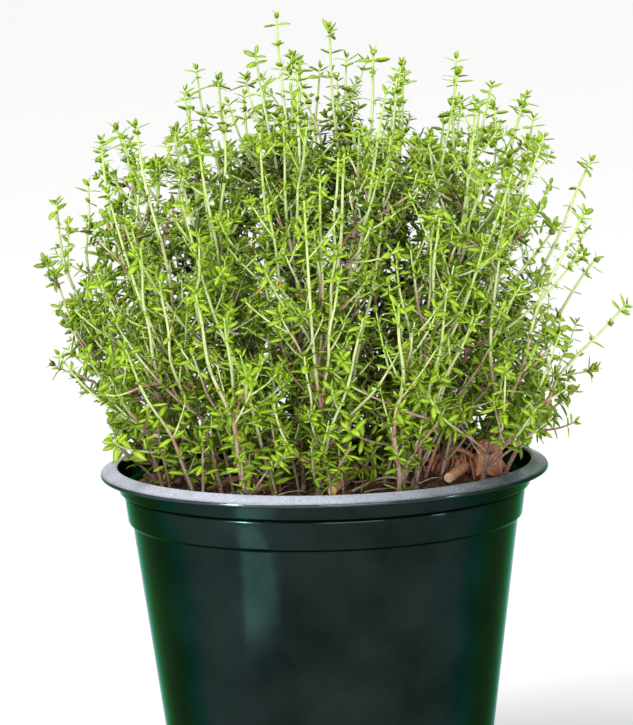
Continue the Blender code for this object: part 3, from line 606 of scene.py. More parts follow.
class Skin:
    """One piece's mesh in the making, as arrays, with the numbers that its materials read at each vertex."""

    READ = ("age", "tone", "rim")

    def __init__(self):
        self.places, self.read, self.quads, self.triangles, self.leaves = [], [], [], [], []
        self.count = 0

    def add(self, places, read, quads, triangles, slot):
        """Places and numbers by vertex, and faces that count from this part's first vertex."""
        self.places.append(places)
        self.read.append(read)
        for faces, kept in ((quads, self.quads), (triangles, self.triangles)):
            faces = np.array(faces, int)
            if len(faces):
                kept.append((faces + self.count, np.full(len(faces), slot)))
        self.count += len(places)

    def tube(self, line, radii, ages, sides, tone):
        """A round stem with a pointed end. Radii and ages run from its first ring to its last."""
        count = len(line.places)
        share = np.linspace(0, 1, count)
        radius, age = blended(radii, share) * line.swell, blended(ages, share)
        turns = (math.tau * np.arange(sides) / sides)[None, :, None]
        out = np.cos(turns) * line.sides[:, None] + np.sin(turns) * line.acrosses[:, None]
        places = (line.places[:, None] + out * radius[:, None, None]).reshape(-1, 3)
        places = np.vstack([places, line.places[-1] + line.alongs[-1] * radius[-1]])
        woody = np.interp(places[:, 2] - (tone - 0.5) * LOW_WOOD_VARIES, *LOW_WOOD)
        age = np.maximum(np.append(np.repeat(age, sides), age[-1]), woody)
        i = np.arange(sides)
        j = (i + 1) % sides
        low = np.arange(count - 1)[:, None] * sides
        high = low + sides
        quads = np.stack([low + i, low + j, high + j, high + i], -1)
        last = (count - 1) * sides
        triangles = np.stack([last + i, last + j, np.full(sides, count * sides)], -1)
        foot = [(0, i + 1, i) for i in range(1, sides - 1)]
        read = np.stack([age, np.full(len(age), tone), age * 0], 1)
        self.add(places, read, quads.reshape(-1, 4), np.vstack([triangles, foot]), 0)

    def leaf(self, root, along, flat, *numbers):
        """A blade's place and ways, then its length, half width, bend, age and tone."""
        if not within(root, *HOLLOW):
            self.leaves.append((*root, *along, *flat, *numbers))

    def close_leaves(self):
        """All leaves at once: closed blades with a crowned top, a flat underside and a pointed tip."""
        if not self.leaves:
            return
        rows = np.array(self.leaves)
        root, along, flat = rows[:, 0:3], rows[:, 3:6], rows[:, 6:9]
        length, half, bend, age, tone = rows[:, 9:].T
        wide = np.cross(flat, along)
        shape = [(t, w * a, w * h, abs(a)) for t, w in LEAF_RINGS for a, h in LEAF_SECTION]
        t, across, above, rim = np.array([*shape, (1, 0, 0, 0.5)], float).T
        up = above[None] * half[:, None] + bend[:, None] * length[:, None] * t[None] ** 2
        places = root[:, None] + along[:, None] * (t[None] * length[:, None])[..., None]
        places = places + wide[:, None] * (across[None] * half[:, None])[..., None]
        places = places + flat[:, None] * up[..., None]
        read = np.stack(np.broadcast_arrays(age[:, None], tone[:, None], rim[None]), -1)
        each, sides = len(t), len(LEAF_SECTION)
        last = each - 1 - sides
        pairs = [(i, (i + 1) % sides) for i in range(sides)]
        rings = range(0, last, sides)
        quads = [(ring + i, ring + j, ring + sides + j, ring + sides + i) for ring in rings for i, j in pairs]
        triangles = [(last + i, last + j, each - 1) for i, j in pairs] + [(2, 1, 0)]
        first = np.arange(len(rows))[:, None, None] * each
        quads = (np.array(quads)[None] + first).reshape(-1, 4)
        triangles = (np.array(triangles)[None] + first).reshape(-1, 3)
        self.add(places.reshape(-1, 3), read.reshape(-1, 3), quads, triangles, 1)

    def make(self, name, materials):
        """The mesh object with its materials and numbers."""
        self.close_leaves()
        places, read = np.vstack(self.places), np.vstack(self.read)
        starts, corners, slots = [], [], []
        total = 0
        for faces, slot in self.quads + self.triangles:
            starts.append(total + np.arange(len(faces)) * faces.shape[1])
            corners.append(faces.ravel())
            slots.append(slot)
            total += faces.size
        starts, corners, slots = (np.concatenate(part).astype(np.int32) for part in (starts, corners, slots))
        mesh = bpy.data.meshes.new(name)
        mesh.vertices.add(len(places))
        mesh.vertices.foreach_set("co", places.astype(np.float32).ravel())
        mesh.loops.add(total)
        mesh.loops.foreach_set("vertex_index", corners)
        mesh.polygons.add(len(starts))
        mesh.polygons.foreach_set("loop_start", starts)
        mesh.polygons.foreach_set("material_index", slots)
        mesh.update(calc_edges=True)
        mesh.shade_smooth()
        for number, kind in enumerate(self.READ):
            attribute = mesh.attributes.new(kind, "FLOAT", "POINT")
            attribute.data.foreach_set("value", read[:, number].astype(np.float32))
        for material in materials:
            mesh.materials.append(material)
        return add_object(name, mesh)


class Line:
    """Part of a path as rings' places, with a frame carried along it."""

    def __init__(self, path, start, end, step):
        count = max(3, math.ceil((end - start) / step) + 1)
        self.lengths = np.linspace(start, end, count)
        alongs = [path.along(length) for length in self.lengths]
        side = alongs[0].orthogonal()
        sides = []
        for along in alongs:
            side = square_to(side, along)
            sides.append(side)
        self.places = np.array([path.at(length) for length in self.lengths])
        self.alongs, self.sides = np.array(alongs), np.array(sides)
        self.acrosses = np.cross(self.alongs, self.sides)
        self.swell = np.ones(count)

    def frame(self, length):
        i = int(np.clip(np.searchsorted(self.lengths, length), 1, len(self.lengths) - 1))
        low, high = self.lengths[i - 1], self.lengths[i]
        place = Vector(self.places[i - 1]).lerp(Vector(self.places[i]), clamp((length - low) / (high - low)))
        return place, Vector(self.alongs[i]), Vector(self.sides[i]), Vector(self.acrosses[i])

    def knot(self, length, swell, reach):
        """Thickens the stem round a node."""
        self.swell += swell * np.exp(-(((self.lengths - length) / reach) ** 2))


def crown_reach(place):
    """How far out in the crown a place is: 0 in its middle and 1 at its skin."""
    return math.sqrt(sum(((p - c) / half) ** 2 for p, c, half in zip(place, CROWN, CROWN_HALF)))


def shade_at(place):
    """How deep in the crown a place is, which makes leaves there older and darker, partly as painted shade: 0
    at its skin, 1 in the middle and down to the soil there.
    """
    return clamp(1.2 * (1 - crown_reach((place.x, place.y, max(place.z, CROWN.z)))))


def put_leaf(skin, place, along, outward, length, width, rise, age, rng):
    """A leaf that leaves the stem outward, raised by an angle, with a yaw, roll and bend of its own."""
    blade, flat = turned(outward, along, rise), turned(along, outward, -rise)
    roll = Quaternion(blade, rng.gauss(0, 0.3)) @ Quaternion(flat, rng.gauss(0, 0.16))
    bend = rng.uniform(-0.42, 0.04)
    skin.leaf(place, roll @ blade, roll @ flat, length, width / 2, bend, age, rng.random())


def put_tuft(skin, place, along, outward, size, age, rng):
    """A small bunch of young leaves in a leaf's axil."""
    way = (outward + along * rng.uniform(0.7, 1.4)).normalized()
    side = way.cross(along + outward * 0.1).normalized()
    over = way.cross(side)
    turn = rng.uniform(0, math.pi)
    for i in range(rng.choice((2, 3, 4, 4))):
        spread = turned(side, over, turn + i * QUARTER)
        root = place + way * size * (0.12 + 0.1 * i)
        long = size * rng.uniform(0.8, 1.15)
        put_leaf(skin, root, way, spread, long, long * 0.33, rng.uniform(0.65, 1.15), age, rng)


def put_tip(skin, line, length, age, rng):
    """The crowded pairs at a shoot's end."""
    turn = rng.uniform(0, math.pi)
    for i, (below, size, rise) in enumerate(TIP_PAIRS):
        place, along, side, across = line.frame(line.lengths[-1] - below * MM)
        for half in HALF_TURNS:
            outward = turned(side, across, turn + half + i * QUARTER + rng.gauss(0, 0.15))
            long = length * size * rng.uniform(0.85, 1.12)
            put_leaf(skin, place, along, outward, long, long * 0.44, rise + rng.gauss(0, 0.16), age, rng)


def clothe(skin, line, span, habit, rng, twig_reach):
    """Leaf pairs that turn a quarter from node to node, tufts in their axils, and twigs."""
    start, end = span[0] + habit.bare, span[1] - 2 * MM
    length = start + rng.uniform(0, 0.4) * habit.spacing
    turn = rng.uniform(0, math.pi)
    while length < end:
        place, along, side, across = line.frame(length)
        age = habit.old + (habit.young - habit.old) * ((length - start) / (end - start))
        # Painted light: lower in the crown, leaves are made younger, so lighter, as if lit from below.
        painted_low_light = clamp((LOW_LEAVES_PAINTED_LIT[0] - place.z) / LOW_LEAVES_PAINTED_LIT[1])
        # Deeper in the crown, leaves are older and darker, partly as painted shade.
        age = age * (0.55 + 0.65 * shade_at(place)) * (1 - 0.45 * painted_low_light)
        large = 1.4 - 0.43 * clamp((place.z - LARGE_LEAVES[0]) / LARGE_LEAVES[1])
        kept = 0.6 + 0.4 * min(1, (place.z - SOIL_EDGE_Z) / BARE_FEET)
        line.knot(length, *KNOT)
        for half in HALF_TURNS:
            outward = turned(side, across, turn + half + rng.gauss(0, 0.15))
            keep = habit.keep * kept
            if rng.random() < keep and clear_of_pot(place + outward * LEAF_ROOM):
                size = rng.uniform(*habit.leaf) * large
                put_leaf(skin, place, along, outward, size, size * habit.width, rng.gauss(0.3, 0.3), age, rng)
            if rng.random() < habit.twigs * keep and twig_reach:
                grow_twig(skin, place, along, outward, twig_reach * rng.uniform(0.45, 1.15), age, rng)
            elif rng.random() < habit.tuft * keep and clear_of_pot(place + outward * TUFT_ROOM):
                put_tuft(skin, place, along, outward, rng.uniform(*habit.tuft_size), age - 0.22, rng)
        turn += QUARTER + rng.gauss(0, 0.1)
        length += habit.spacing * rng.uniform(0.75, 1.25)


def grow_twig(skin, place, along, outward, reach, age, rng):
    """A leafy side twig that leaves at about half a right angle and turns up, if it has room over the pot."""
    way = turned(outward, along, rng.uniform(0.45, 0.95))
    rise = (way + UP * rng.uniform(0.3, 0.9)).normalized()
    tip = place + way * reach * 0.45 + rise * reach * 0.55
    path = Path(lambda t: bezier(place, place + way * reach * 0.35, tip - rise * reach * 0.3, tip, t))
    inside = crown_reach(tip) < max(1.03, crown_reach(place) + 0.02)
    if reach > TWIG_MIN and inside and clear_of_pot(*path.points[6::6]):
        line = Line(path, 0, path.length, TWIG.ring)
        habit = TWIG_HABIT._replace(old=min(age + 0.1, 0.9), young=max(age - 0.4, 0.05))
        clothe(skin, line, (0, path.length), habit, rng, reach * TWIG.twigs)
        put_tip(skin, line, rng.uniform(*TWIG.tip) * MM, max(age - 0.55, 0), rng)
        skin.tube(line, TWIG.radii, (min(age, 0.62), 0.06), TWIG.sides, rng.random())


def clothe_wood(skin, axis, rng):
    """A woody stem from its foot in the soil up, with its leaves, twigs and branches."""
    line = Line(axis.path, axis.start, axis.end, WOOD.ring)
    clothe(skin, line, (axis.start, axis.end), WOOD_HABIT, rng, WOOD.twigs)
    skin.tube(line, WOOD.radii, (1.0, 0.85, 0.6, 0.35), WOOD.sides, rng.random())
    foot = axis.path.at(0)
    buried = Path(lambda t: foot - UP * (HOLE_DEPTH + FOOT_RISE) * (1 - t))
    skin.tube(Line(buried, 0, buried.length, FOOT.ring), FOOT.radii, (1, 1), FOOT.sides, rng.random())
    for branch in axis.grown.values():
        clothe_sprig(skin, branch.path, rng)


def clothe_shoot(skin, axis, rng):
    line = Line(axis.path, axis.start, axis.end, SHOOT.ring)
    clothe(skin, line, (axis.start, axis.end), SHOOT_HABIT, rng, SHOOT.twigs)
    put_tip(skin, line, rng.uniform(*SHOOT.tip) * MM, 0, rng)
    skin.tube(line, SHOOT.radii, (0.42, 0.2, 0.02), SHOOT.sides, rng.random())


def sprig_tips(sprigs, rng):
    """Tips all round the crown, fewer on its open flanks."""
    for i in range(sprigs.count):
        spread = scatter(rng, 4, 4, 4) * MM
        tip = CROWN.lerp(crown_place(i, sprigs.count, sprigs.rises) + spread, rng.uniform(*sprigs.depths))
        tip.z = CROWN.z + (tip.z - CROWN.z) * (sprigs.flat if tip.z > CROWN.z else 1)
        tip.x += np.interp(tip.z, *CROWN_LEAN)
        kept = OPEN_KEPT if any(within(tip, *flank) for flank in OPEN_FLANKS) else 1
        if abs(tip.x) >= sprigs.side and rng.random() < kept:
            yield tip


def fork_places(hosts):
    """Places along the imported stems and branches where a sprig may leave, with the stem's way there."""
    found = []
    for path in (host.path for host in hosts):
        reaches = steps(5 * MM, path.length * 0.82, FORK_STEP)
        found += [(path.at(reach), path.along(reach)) for reach in reaches]
    return found


def fan_foot(tip):
    return Vector((0, 0, np.interp(tip.x, *FAN_FEET)))


def best_forks(sprigs, tip, places, rng):
    """The few places from which a sprig best reaches a tip: near the line on which stems fan out to it."""
    fan = (tip - fan_foot(tip)).normalized()
    found = []
    for place, along in places:
        way = tip - place
        lean = way.angle(along)
        if in_reach(way, lean, sprigs.reach, sprigs.lean):
            aside = (way - fan * way.dot(fan)).length
            found.append((way.length * (1 + lean) * rng.uniform(1, 1.6) + aside * 5, place, along))
    return [fork[1:] for fork in sorted(found, key=lambda fork: fork[0])[:SPRIG_TRIES]]


def soil_starts(tip, rng):
    """A few places on the soil below the line on which stems fan out to a tip."""
    foot = fan_foot(tip)
    for _ in range(SPRIG_TRIES):
        spot = tip.lerp(foot, (tip.z - SOIL_EDGE_Z) / (tip.z - foot.z)).xy
        spot += scatter(rng, 4, 4) * MM
        yield on_soil(*(spot * min(1, SOIL_ROOTS / spot.length)), -FOOT_RISE), UP


def sprig_path(start, along, tip, rng):
    """A nearly straight way from a start to a tip, which it reaches a little more upright."""
    reach = (tip - start).length
    way = (tip - start).normalized()
    along = (along * 0.6 + way).normalized()
    rise = (way + UP * rng.uniform(0.1, 0.6)).normalized()
    low, high = start + along * reach * 0.35, tip - rise * reach * 0.35
    turns = [any_turn(rng) for _ in range(2)]

    def place_at(t):
        fade = SWAY * 0.55 * math.sin(math.pi * t) ** 2 * min(1, reach / (90 * MM))
        swayed = Vector((*(math.sin(3 * math.pi * t + turn) for turn in turns), 0))
        return bezier(start, low, high, tip, t) + swayed * fade

    return Path(place_at)


def roomiest_sprig(sprigs, tip, places, thicket, rng):
    """The best of a few tries to reach a tip clear of what is there."""
    starts = [] if rng.random() < sprigs.soil else best_forks(sprigs, tip, places, rng)
    starts = starts or list(soil_starts(tip, rng))
    tries = [sprig_path(start, along, tip, rng) for start, along in starts]
    tries = [path for path in tries if clear_of_pot(*path.points[24::4])]
    return max(tries, key=lambda path: thicket.room(path.points[8::4], SPRIG_HALF)) if tries else None


def clothe_sprig(skin, path, rng, habit=SHOOT_HABIT):
    """A thin stem, woody deep in the crown and green towards its skin, with its leaves and twigs."""
    line = Line(path, 0, path.length, SPRIG.ring)
    young = habit == SHOOT_HABIT
    depth = rng.uniform(0.45, 0.72) if young else 2
    share = sum(crown_reach(point) < depth for point in path.points) / len(path.points)
    share = min(max(share, 0.12), rng.uniform(0.5, 0.7))
    turn = path.length * share
    clothe(skin, line, (0, turn), WOOD_HABIT, rng, SPRIG_FOOT_TWIGS)
    clothe(skin, line, (turn, path.length), habit, rng, SPRIG.twigs)
    put_tip(skin, line, rng.uniform(*SPRIG.tip) * MM, 0 if young else rng.uniform(0.1, 0.4), rng)
    thick = min(1, 0.6 + path.length / (220 * MM))
    ages = SPRIG_AGES["deep" if not young else "long" if share > 0.4 else "short"]
    skin.tube(line, [radius * thick for radius in SPRIG.radii], ages, SPRIG.sides, rng.random())


def low_sprig_path(i, hosts, rng):
    """A short way up and outward, or none where it would meet the pot."""
    start = flat_way(i * GOLDEN_TURN) * (LOW_SPREAD * math.sqrt((i + 0.5) / LOW_SPRIGS))
    out = start / LOW_SPREAD * 0.9 + scatter(rng, 0.5, 0.5).to_3d()
    long = rng.uniform(*LOW_REACH)
    if i % 2:
        start.z = soil_height(start.x, start.y) - FOOT_RISE
        tip = start + (UP + out * rng.uniform(0.3, 1)).normalized() * long
        bend = start + UP * long * 0.3
    else:
        host = min(hosts, key=lambda host: (host.path.at(0) - start).xy.length)
        start = host.path.at(rng.uniform(3, 16) * MM)
        out.normalize()
        tip = start + out * long * rng.uniform(0.45, 0.7) + UP * long * rng.uniform(0.5, 0.8)
        bend = start + out * long * 0.42 + UP * long * 0.04
    path = Path(lambda t: bezier(start, bend, tip - (UP + out * 0.2) * long * 0.3, tip, t))
    return path if clear_of_pot(*path.points[24::6]) else None


def clothe_low_sprig(skin, path, rng):
    line = Line(path, 0, path.length, LOW_SPRIG.ring)
    habit = TWIG_HABIT._replace(old=rng.uniform(0.4, 0.8), young=rng.uniform(0.1, 0.3))
    clothe(skin, line, (path.length * 0.25, path.length), habit, rng, LOW_SPRIG.twigs)
    put_tip(skin, line, rng.uniform(*LOW_SPRIG.tip) * MM, 0.1, rng)
    skin.tube(line, LOW_SPRIG.radii, (0.85, 0.7, 0.35, 0.1), LOW_SPRIG.sides, rng.random())


def make_thyme(materials):
    """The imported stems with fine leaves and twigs, and sprigs between them, grouped by side of the pot."""
    rng = random.Random(SEED)
    thicket = Thicket()
    pairs = [lay_out_stem(i + 1, stem, thicket, rng) for i, stem in enumerate(STEMS)]
    branches = lay_out_branches(pairs, thicket)
    for pair in pairs:
        for axis, dress, slot in zip(pair, (clothe_wood, clothe_shoot), ("thyme_wood", "thyme_shoot")):
            skin = Skin()
            dress(skin, axis, random.Random(axis.name))
            keep_piece(skin.make("thyme_" + axis.name, materials), slot, axis.name)
    rng = random.Random(SEED + 1)
    skins = [Skin() for _ in range(SPRIG_GROUPS)]
    woods = [wood for wood, _ in pairs]
    places = fork_places(woods + branches)

    def skin_at(place):
        share = math.atan2(place.y, place.x) / math.tau + 0.5
        return skins[int(share * SPRIG_GROUPS) % SPRIG_GROUPS]

    for sprigs in (LONG, DEEP, FLANK, LOW_RIGHT):
        habit = SHOOT_HABIT if sprigs == LONG else DEEP_HABIT
        for tip in sprig_tips(sprigs, rng):
            if sprigs == LOW_RIGHT and tip.x < 0:
                continue
            path = roomiest_sprig(sprigs, tip, places, thicket, rng)
            if path:
                thicket.add_path(path, SPRIG_HALF)
                clothe_sprig(skin_at(tip), path, rng, habit)
    for i in range(LOW_SPRIGS):
        path = low_sprig_path(i, woods, rng)
        if path and not within(path.points[0], *HOLLOW) and thicket.room(path.points[12::6], 0.5 * MM) > 0:
            clothe_low_sprig(skin_at(path.points[-1]), path, rng)
    for i, skin in enumerate(skins):
        keep_piece(skin.make(f"thyme_sprigs_{i + 1}", materials), "thyme_wood")


class Tree:
    """A material's node tree, written from the surface shader back."""

    def __init__(self, name):
        self.material = bpy.data.materials.new(name)
        self.material.use_nodes = True
        self.nodes, self.links = self.material.node_tree.nodes, self.material.node_tree.links
        self.shader = self.nodes["Principled BSDF"]

    def add(self, kind, sources=(), **values):
        """A node with its inputs set or linked by name or number."""
        node = self.nodes.new("ShaderNode" + kind)
        for name, value in values.items():
            setattr(node, name, value)
        for name, source in dict(sources).items():
            self.put(node.inputs[name], source)
        return node

    def put(self, socket, source):
        if isinstance(source, bpy.types.NodeSocket):
            self.links.new(source, socket)
        elif isinstance(source, bpy.types.Node):
            self.links.new(next(out for out in source.outputs if out.enabled), socket)
        else:
            socket.default_value = source

    def set(self, **values):
        for name, value in values.items():
            self.put(self.shader.inputs[name.replace("_", " ")], value)

    def place(self):
        return self.add("TexCoord").outputs["Object"]

    def looks_up(self):
        """How far the surface looks up, from -1 to 1."""
        return self.add("SeparateXYZ", {0: self.add("NewGeometry").outputs["Normal"]}).outputs["Z"]

    def number(self, kind):
        """The number that a mesh keeps at each vertex under this name."""
        return self.add("Attribute", attribute_name=kind).outputs["Fac"]

    def noise(self, scale, detail=3, roughness=0.55, place=None):
        inputs = {"Vector": place or self.place(), "Scale": scale, "Detail": detail, "Roughness": roughness}
        return self.add("TexNoise", inputs).outputs["Fac"]

    def mottle(self, new_low, new_high, scale, *noise, between=(0.3, 0.7)):
        """Noise that is spread from one number to another."""
        return self.span(self.noise(scale, *noise), *between, new_low, new_high)

    def stretched(self, scales):
        return self.add("Mapping", {"Vector": self.place(), "Scale": scales}).outputs["Vector"]

    def plus(self, a, b, clamped=False):
        return self.add("Math", {0: a, 1: b}, operation="ADD", use_clamp=clamped).outputs[0]

    def times(self, a, b):
        return self.add("Math", {0: a, 1: b}, operation="MULTIPLY").outputs[0]

    def ramp(self, source, stops):
        """Colours at places from 0 to 1."""
        node = self.add("ValToRGB", {"Fac": source})
        elements = node.color_ramp.elements
        while len(elements) < len(stops):
            elements.new(0.5)
        for element, (place, colour) in zip(elements, stops):
            element.position = place
            element.color = (*colour, 1)
        return node.outputs["Color"]

    def span(self, source, low, high, new_low, new_high):
        inputs = {"Value": source, "From Min": low, "From Max": high, "To Min": new_low, "To Max": new_high}
        return self.add("MapRange", inputs).outputs["Result"]

    def mix(self, share, a, b, how="MIX"):
        node = self.add("Mix", data_type="RGBA", blend_type=how)
        self.put(node.inputs["Factor"], share)
        for name, value in (("A", a), ("B", b)):
            socket = next(s for s in node.inputs if s.name == name and s.type == "RGBA")
            self.put(socket, (*value, 1) if isinstance(value, tuple) else value)
        return next(s for s in node.outputs if s.type == "RGBA")

    def bump(self, height, strength, distance):
        node = self.add("Bump", {"Height": height, "Strength": strength, "Distance": distance})
        self.put(self.shader.inputs["Normal"], node.outputs["Normal"])
        return node.outputs["Normal"]


def leaf_material():
    """Young leaves are bright, old ones dark, and age also carries painted shade deep in the crown and painted
    light low in it; undersides and midribs are paler, and light comes through.
    """
    tree = Tree("thyme_leaf")
    tone = tree.number("tone")
    age = tree.plus(tree.number("age"), tree.span(tone, 0, 1, -0.19, 0.19), True)
    age = tree.plus(age, tree.mottle(-0.08, 0.08, 900), True)
    colour = tree.ramp(age, LEAF_SHADES)
    colour = tree.mix(tree.span(tone, 0.988, 0.992, 0, 0.8), colour, (0.60, 0.45, 0.04))
    colour = tree.mix(tree.span(tree.number("rim"), 0.0, 0.16, 0.4, 0), colour, (0.42, 0.60, 0.18))
    colour = tree.mix(tree.span(tree.looks_up(), -0.5, 0.1, 0.2, 0), colour, (0.26, 0.38, 0.12))
    tree.set(Base_Color=colour, Roughness=tree.mottle(0.38, 0.6, 1500), Specular_IOR_Level=0.22)
    normal = tree.bump(tree.noise(2600, 2), 0.3, 0.15 * MM)
    through = tree.mix(1.0, colour, (1.4, 1.3, 0.6), "MULTIPLY")
    glow = tree.add("BsdfTranslucent", {"Color": through, "Normal": normal})
    both = tree.add("MixShader", {0: 0.34, 1: tree.shader.outputs["BSDF"], 2: glow.outputs["BSDF"]})
    tree.links.new(both.outputs[0], tree.nodes["Material Output"].inputs["Surface"])
    return tree.material


def stem_material():
    """Green young stems, purple-brown older ones and greyish bark at the foot, streaked lengthwise."""
    tree = Tree("thyme_stem")
    streaks = tree.noise(700, 4, 0.6, tree.stretched((1, 1, 0.12)))
    age = tree.plus(tree.number("age"), tree.span(streaks, 0.3, 0.7, -0.09, 0.09), True)
    colour = tree.ramp(age, STEM_SHADES)
    woody = tree.span(tree.number("age"), 0.52, 0.75, 0, 1)
    grey = tree.plus(tree.number("tone"), tree.mottle(-0.5, 0.5, 160, 4))
    grey = tree.span(grey, 0.3, 1, 0, 0.75)
    colour = tree.mix(tree.times(woody, grey), colour, (0.40, 0.31, 0.23))
    flecks = tree.times(tree.mottle(0, 0.75, 1300, between=(0.56, 0.66)), woody)
    colour = tree.mix(flecks, colour, (0.60, 0.47, 0.36))
    cracks = tree.mottle(0.8, 0, 1100, 4, 0.7, tree.stretched((1, 1, 0.2)), between=(0.36, 0.46))
    colour = tree.mix(tree.times(cracks, woody), colour, (0.06, 0.03, 0.022))
    tree.set(Base_Color=colour, Roughness=tree.span(age, 0, 1, 0.5, 0.85), Specular_IOR_Level=0.35)
    tree.bump(streaks, 0.5, 0.3 * MM)
    return tree.material


def pot_material():
    """Near-black moulded plastic with a green cast, finely scuffed, and grey on the lip's top, partly wear and
    partly a painted reflection that is lighter on the left and darker to the right.
    """
    tree = Tree("pot_plastic_fine")
    cloud = tree.noise(30, 4)
    scuffs = tree.noise(260, 6, 0.7, tree.stretched((1, 1, 5)))
    colour = tree.ramp(cloud, ((0.3, (0.006, 0.011, 0.0105)), (0.7, (0.016, 0.025, 0.024))))
    looks_up = tree.looks_up()
    split = tree.add("SeparateXYZ", {0: tree.place()}).outputs
    # Painted reflection and wear: the lip's top, and a little of its edge, is mixed in patches towards light
    # bluish grey.
    high = tree.span(split["Z"], FLANGE_Z, FLANGE_Z + LIP_EDGE, 0, 1)
    top = tree.times(tree.span(looks_up, 0.4, 0.95, 0.08, 1), high)
    # Painted shade: the lip's grey fades from the left towards the right.
    top = tree.times(top, tree.span(split["X"], 0, 0.065, 1, 0.34))
    wear_and_sheen_patches = tree.mottle(0.4, 1.0, 1300, 8, 0.75, between=(0.3, 0.65))
    wear_and_sheen_patches = tree.times(wear_and_sheen_patches, tree.mottle(0.65, 1.0, 28, between=(0.35, 0.6)))
    top = tree.times(top, wear_and_sheen_patches)
    colour = tree.mix(top, colour, (0.62, 0.63, 0.75))
    dust = tree.mottle(0, 0.08, 900, 5, 0.7, between=(0.62, 0.8))
    colour = tree.mix(dust, colour, (0.16, 0.16, 0.15))
    rough = tree.plus(tree.span(scuffs, 0.3, 0.75, 0.10, 0.22), dust)
    rough = tree.plus(rough, tree.span(top, 0, 1, 0, 0.12))
    tree.set(Base_Color=colour, Roughness=rough, Specular_IOR_Level=0.08)
    tree.set(Metallic=tree.span(top, 0, 0.3, 0.9, 0), Specular_Tint=(0.03, 0.48, 0.31, 1))
    tree.bump(tree.noise(180, 5, 0.6), 0.05, 0.6 * MM)
    return tree.material


def soil_material():
    tree = Tree("potting_soil_fine")
    grain = tree.noise(420, 8, 0.7)
    patch = tree.noise(90, 4)
    colour = tree.ramp(grain, SOIL_SHADES)
    colour = tree.mix(tree.span(patch, 0.45, 0.7, 0, 0.5), colour, (0.22, 0.09, 0.045))
    tree.set(Base_Color=colour, Roughness=0.95, Specular_IOR_Level=0.2)
    tree.bump(grain, 0.8, 1.2 * MM)
    return tree.material


def fibre_material(name, dark, light, stretch=(1, 1, 1), least=0.45):
    """Wood or bark with streaks along its grain, mottled, and lighter or darker from bit to bit."""
    tree = Tree(name)
    streaks = tree.noise(900, 6, 0.7, tree.stretched(stretch))
    colour = tree.ramp(streaks, ((0.3, dark), (0.7, light)))
    colour = tree.mix(tree.mottle(0, 0.7, 420, 4, between=(0.5, 0.72)), colour, tuple(c * 0.4 for c in dark))
    shade = tree.span(tree.add("NewGeometry").outputs["Random Per Island"], 0, 1, least, 1.2)
    colour = tree.mix(1.0, colour, tree.add("CombineColor", {0: shade, 1: shade, 2: shade}), "MULTIPLY")
    tree.set(Base_Color=colour, Roughness=0.85, Specular_IOR_Level=0.25)
    tree.bump(streaks, 0.9, 0.5 * MM)
    return tree.material


def mesh_object(name, bm, material, smooth=True):
    bmesh.ops.recalc_face_normals(bm, faces=bm.faces)
    mesh = bpy.data.meshes.new(name)
    bm.to_mesh(mesh)
    bm.free()
    mesh.materials.append(material)
    if smooth:
        mesh.shade_smooth()
        mesh.set_sharp_from_angle(angle=math.radians(40))
    return add_object(name, mesh)


def wall_radius(z):
    return POT_BASE_R + (WALL_TOP_R - POT_BASE_R) * z / STEP_Z


def pot_profile():
    """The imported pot's profile: from the underside up the outside, over the lip and down the inside."""
    return (
        (DISC_R, 0), (DISC_R + CHANNEL_SLOPE, FOOT_Z),
        (FOOT_INNER_R - CHANNEL_SLOPE, FOOT_Z), (FOOT_INNER_R, 0),
        (POT_BASE_R - FOOT_BEVEL, 0), (wall_radius(FOOT_BEVEL), FOOT_BEVEL),
        (WALL_TOP_R, STEP_Z), (BAND_FOOT_R, STEP_Z + STEP_SLOPE), (BAND_TOP_R, BAND_TOP_Z),
        (GROOVE_R, COLLAR_Z), (COLLAR_FOOT_R, COLLAR_Z), (COLLAR_TOP_R, FLANGE_Z),
        (LIP_R - LIP_EDGE / 2, FLANGE_Z), (LIP_R, FLANGE_Z + LIP_EDGE / 2),
        (LIP_R, LIP_CREST_Z - LIP_EDGE), (LIP_R - LIP_EDGE, LIP_CREST_Z),
        (LIP_INNER_R + LIP_EDGE, POT_HEIGHT), (LIP_INNER_R, POT_HEIGHT - LIP_EDGE / 2),
        (COLLAR_TOP_R - WALL, FLANGE_Z), (COLLAR_FOOT_R - WALL, COLLAR_Z + WALL),
        (GROOVE_R - WALL, COLLAR_Z + WALL), (BAND_TOP_R - WALL, BAND_TOP_Z),
        (BAND_FOOT_R - WALL, STEP_Z + STEP_SLOPE / 4), (WALL_TOP_R - WALL, STEP_Z - STEP_SLOPE),
        (wall_radius(FLOOR) - WALL, FLOOR), (FOOT_INNER_R + WALL, FLOOR),
        (FOOT_INNER_R - CHANNEL_SLOPE + WALL, FOOT_Z + FLOOR),
        (DISC_R + CHANNEL_SLOPE - WALL, FOOT_Z + FLOOR), (DISC_R - WALL, FLOOR),
    )


def rounded(profile):
    """The profile with a small curve at each corner."""
    points = [Vector(point) for point in profile]
    made = [points[0]]
    for before, corner, after in zip(points, points[1:], points[2:]):
        cut = min(LIP_EDGE * 0.8, (before - corner).length * ROUND_CUT, (after - corner).length * ROUND_CUT)
        start = corner + (before - corner).normalized() * cut
        end = corner + (after - corner).normalized() * cut
        for i in range(ROUND_STEPS + 1):
            t = i / ROUND_STEPS
            made.append(start * (1 - t) ** 2 + corner * (2 * t * (1 - t)) + end * t * t)
    return made + [points[-1]]


def skin_rings(bm, rings):
    for low, high in zip(rings, rings[1:]):
        for i in range(len(low)):
            j = (i + 1) % len(low)
            bm.faces.new((low[i], low[j], high[j], high[i]))


def close_ends(bm, rings, *places):
    """A fan of triangles over the first ring and the last, each round its own middle place."""
    for ring, place in zip((rings[0], rings[-1]), places):
        point = bm.verts.new(place)
        for i in range(len(ring)):
            bm.faces.new((ring[i], ring[(i + 1) % len(ring)], point))


def circle(bm, radius, z, sides):
    turns = (math.tau * i / sides for i in range(sides))
    return [bm.verts.new((radius * math.cos(a), radius * math.sin(a), z)) for a in turns]


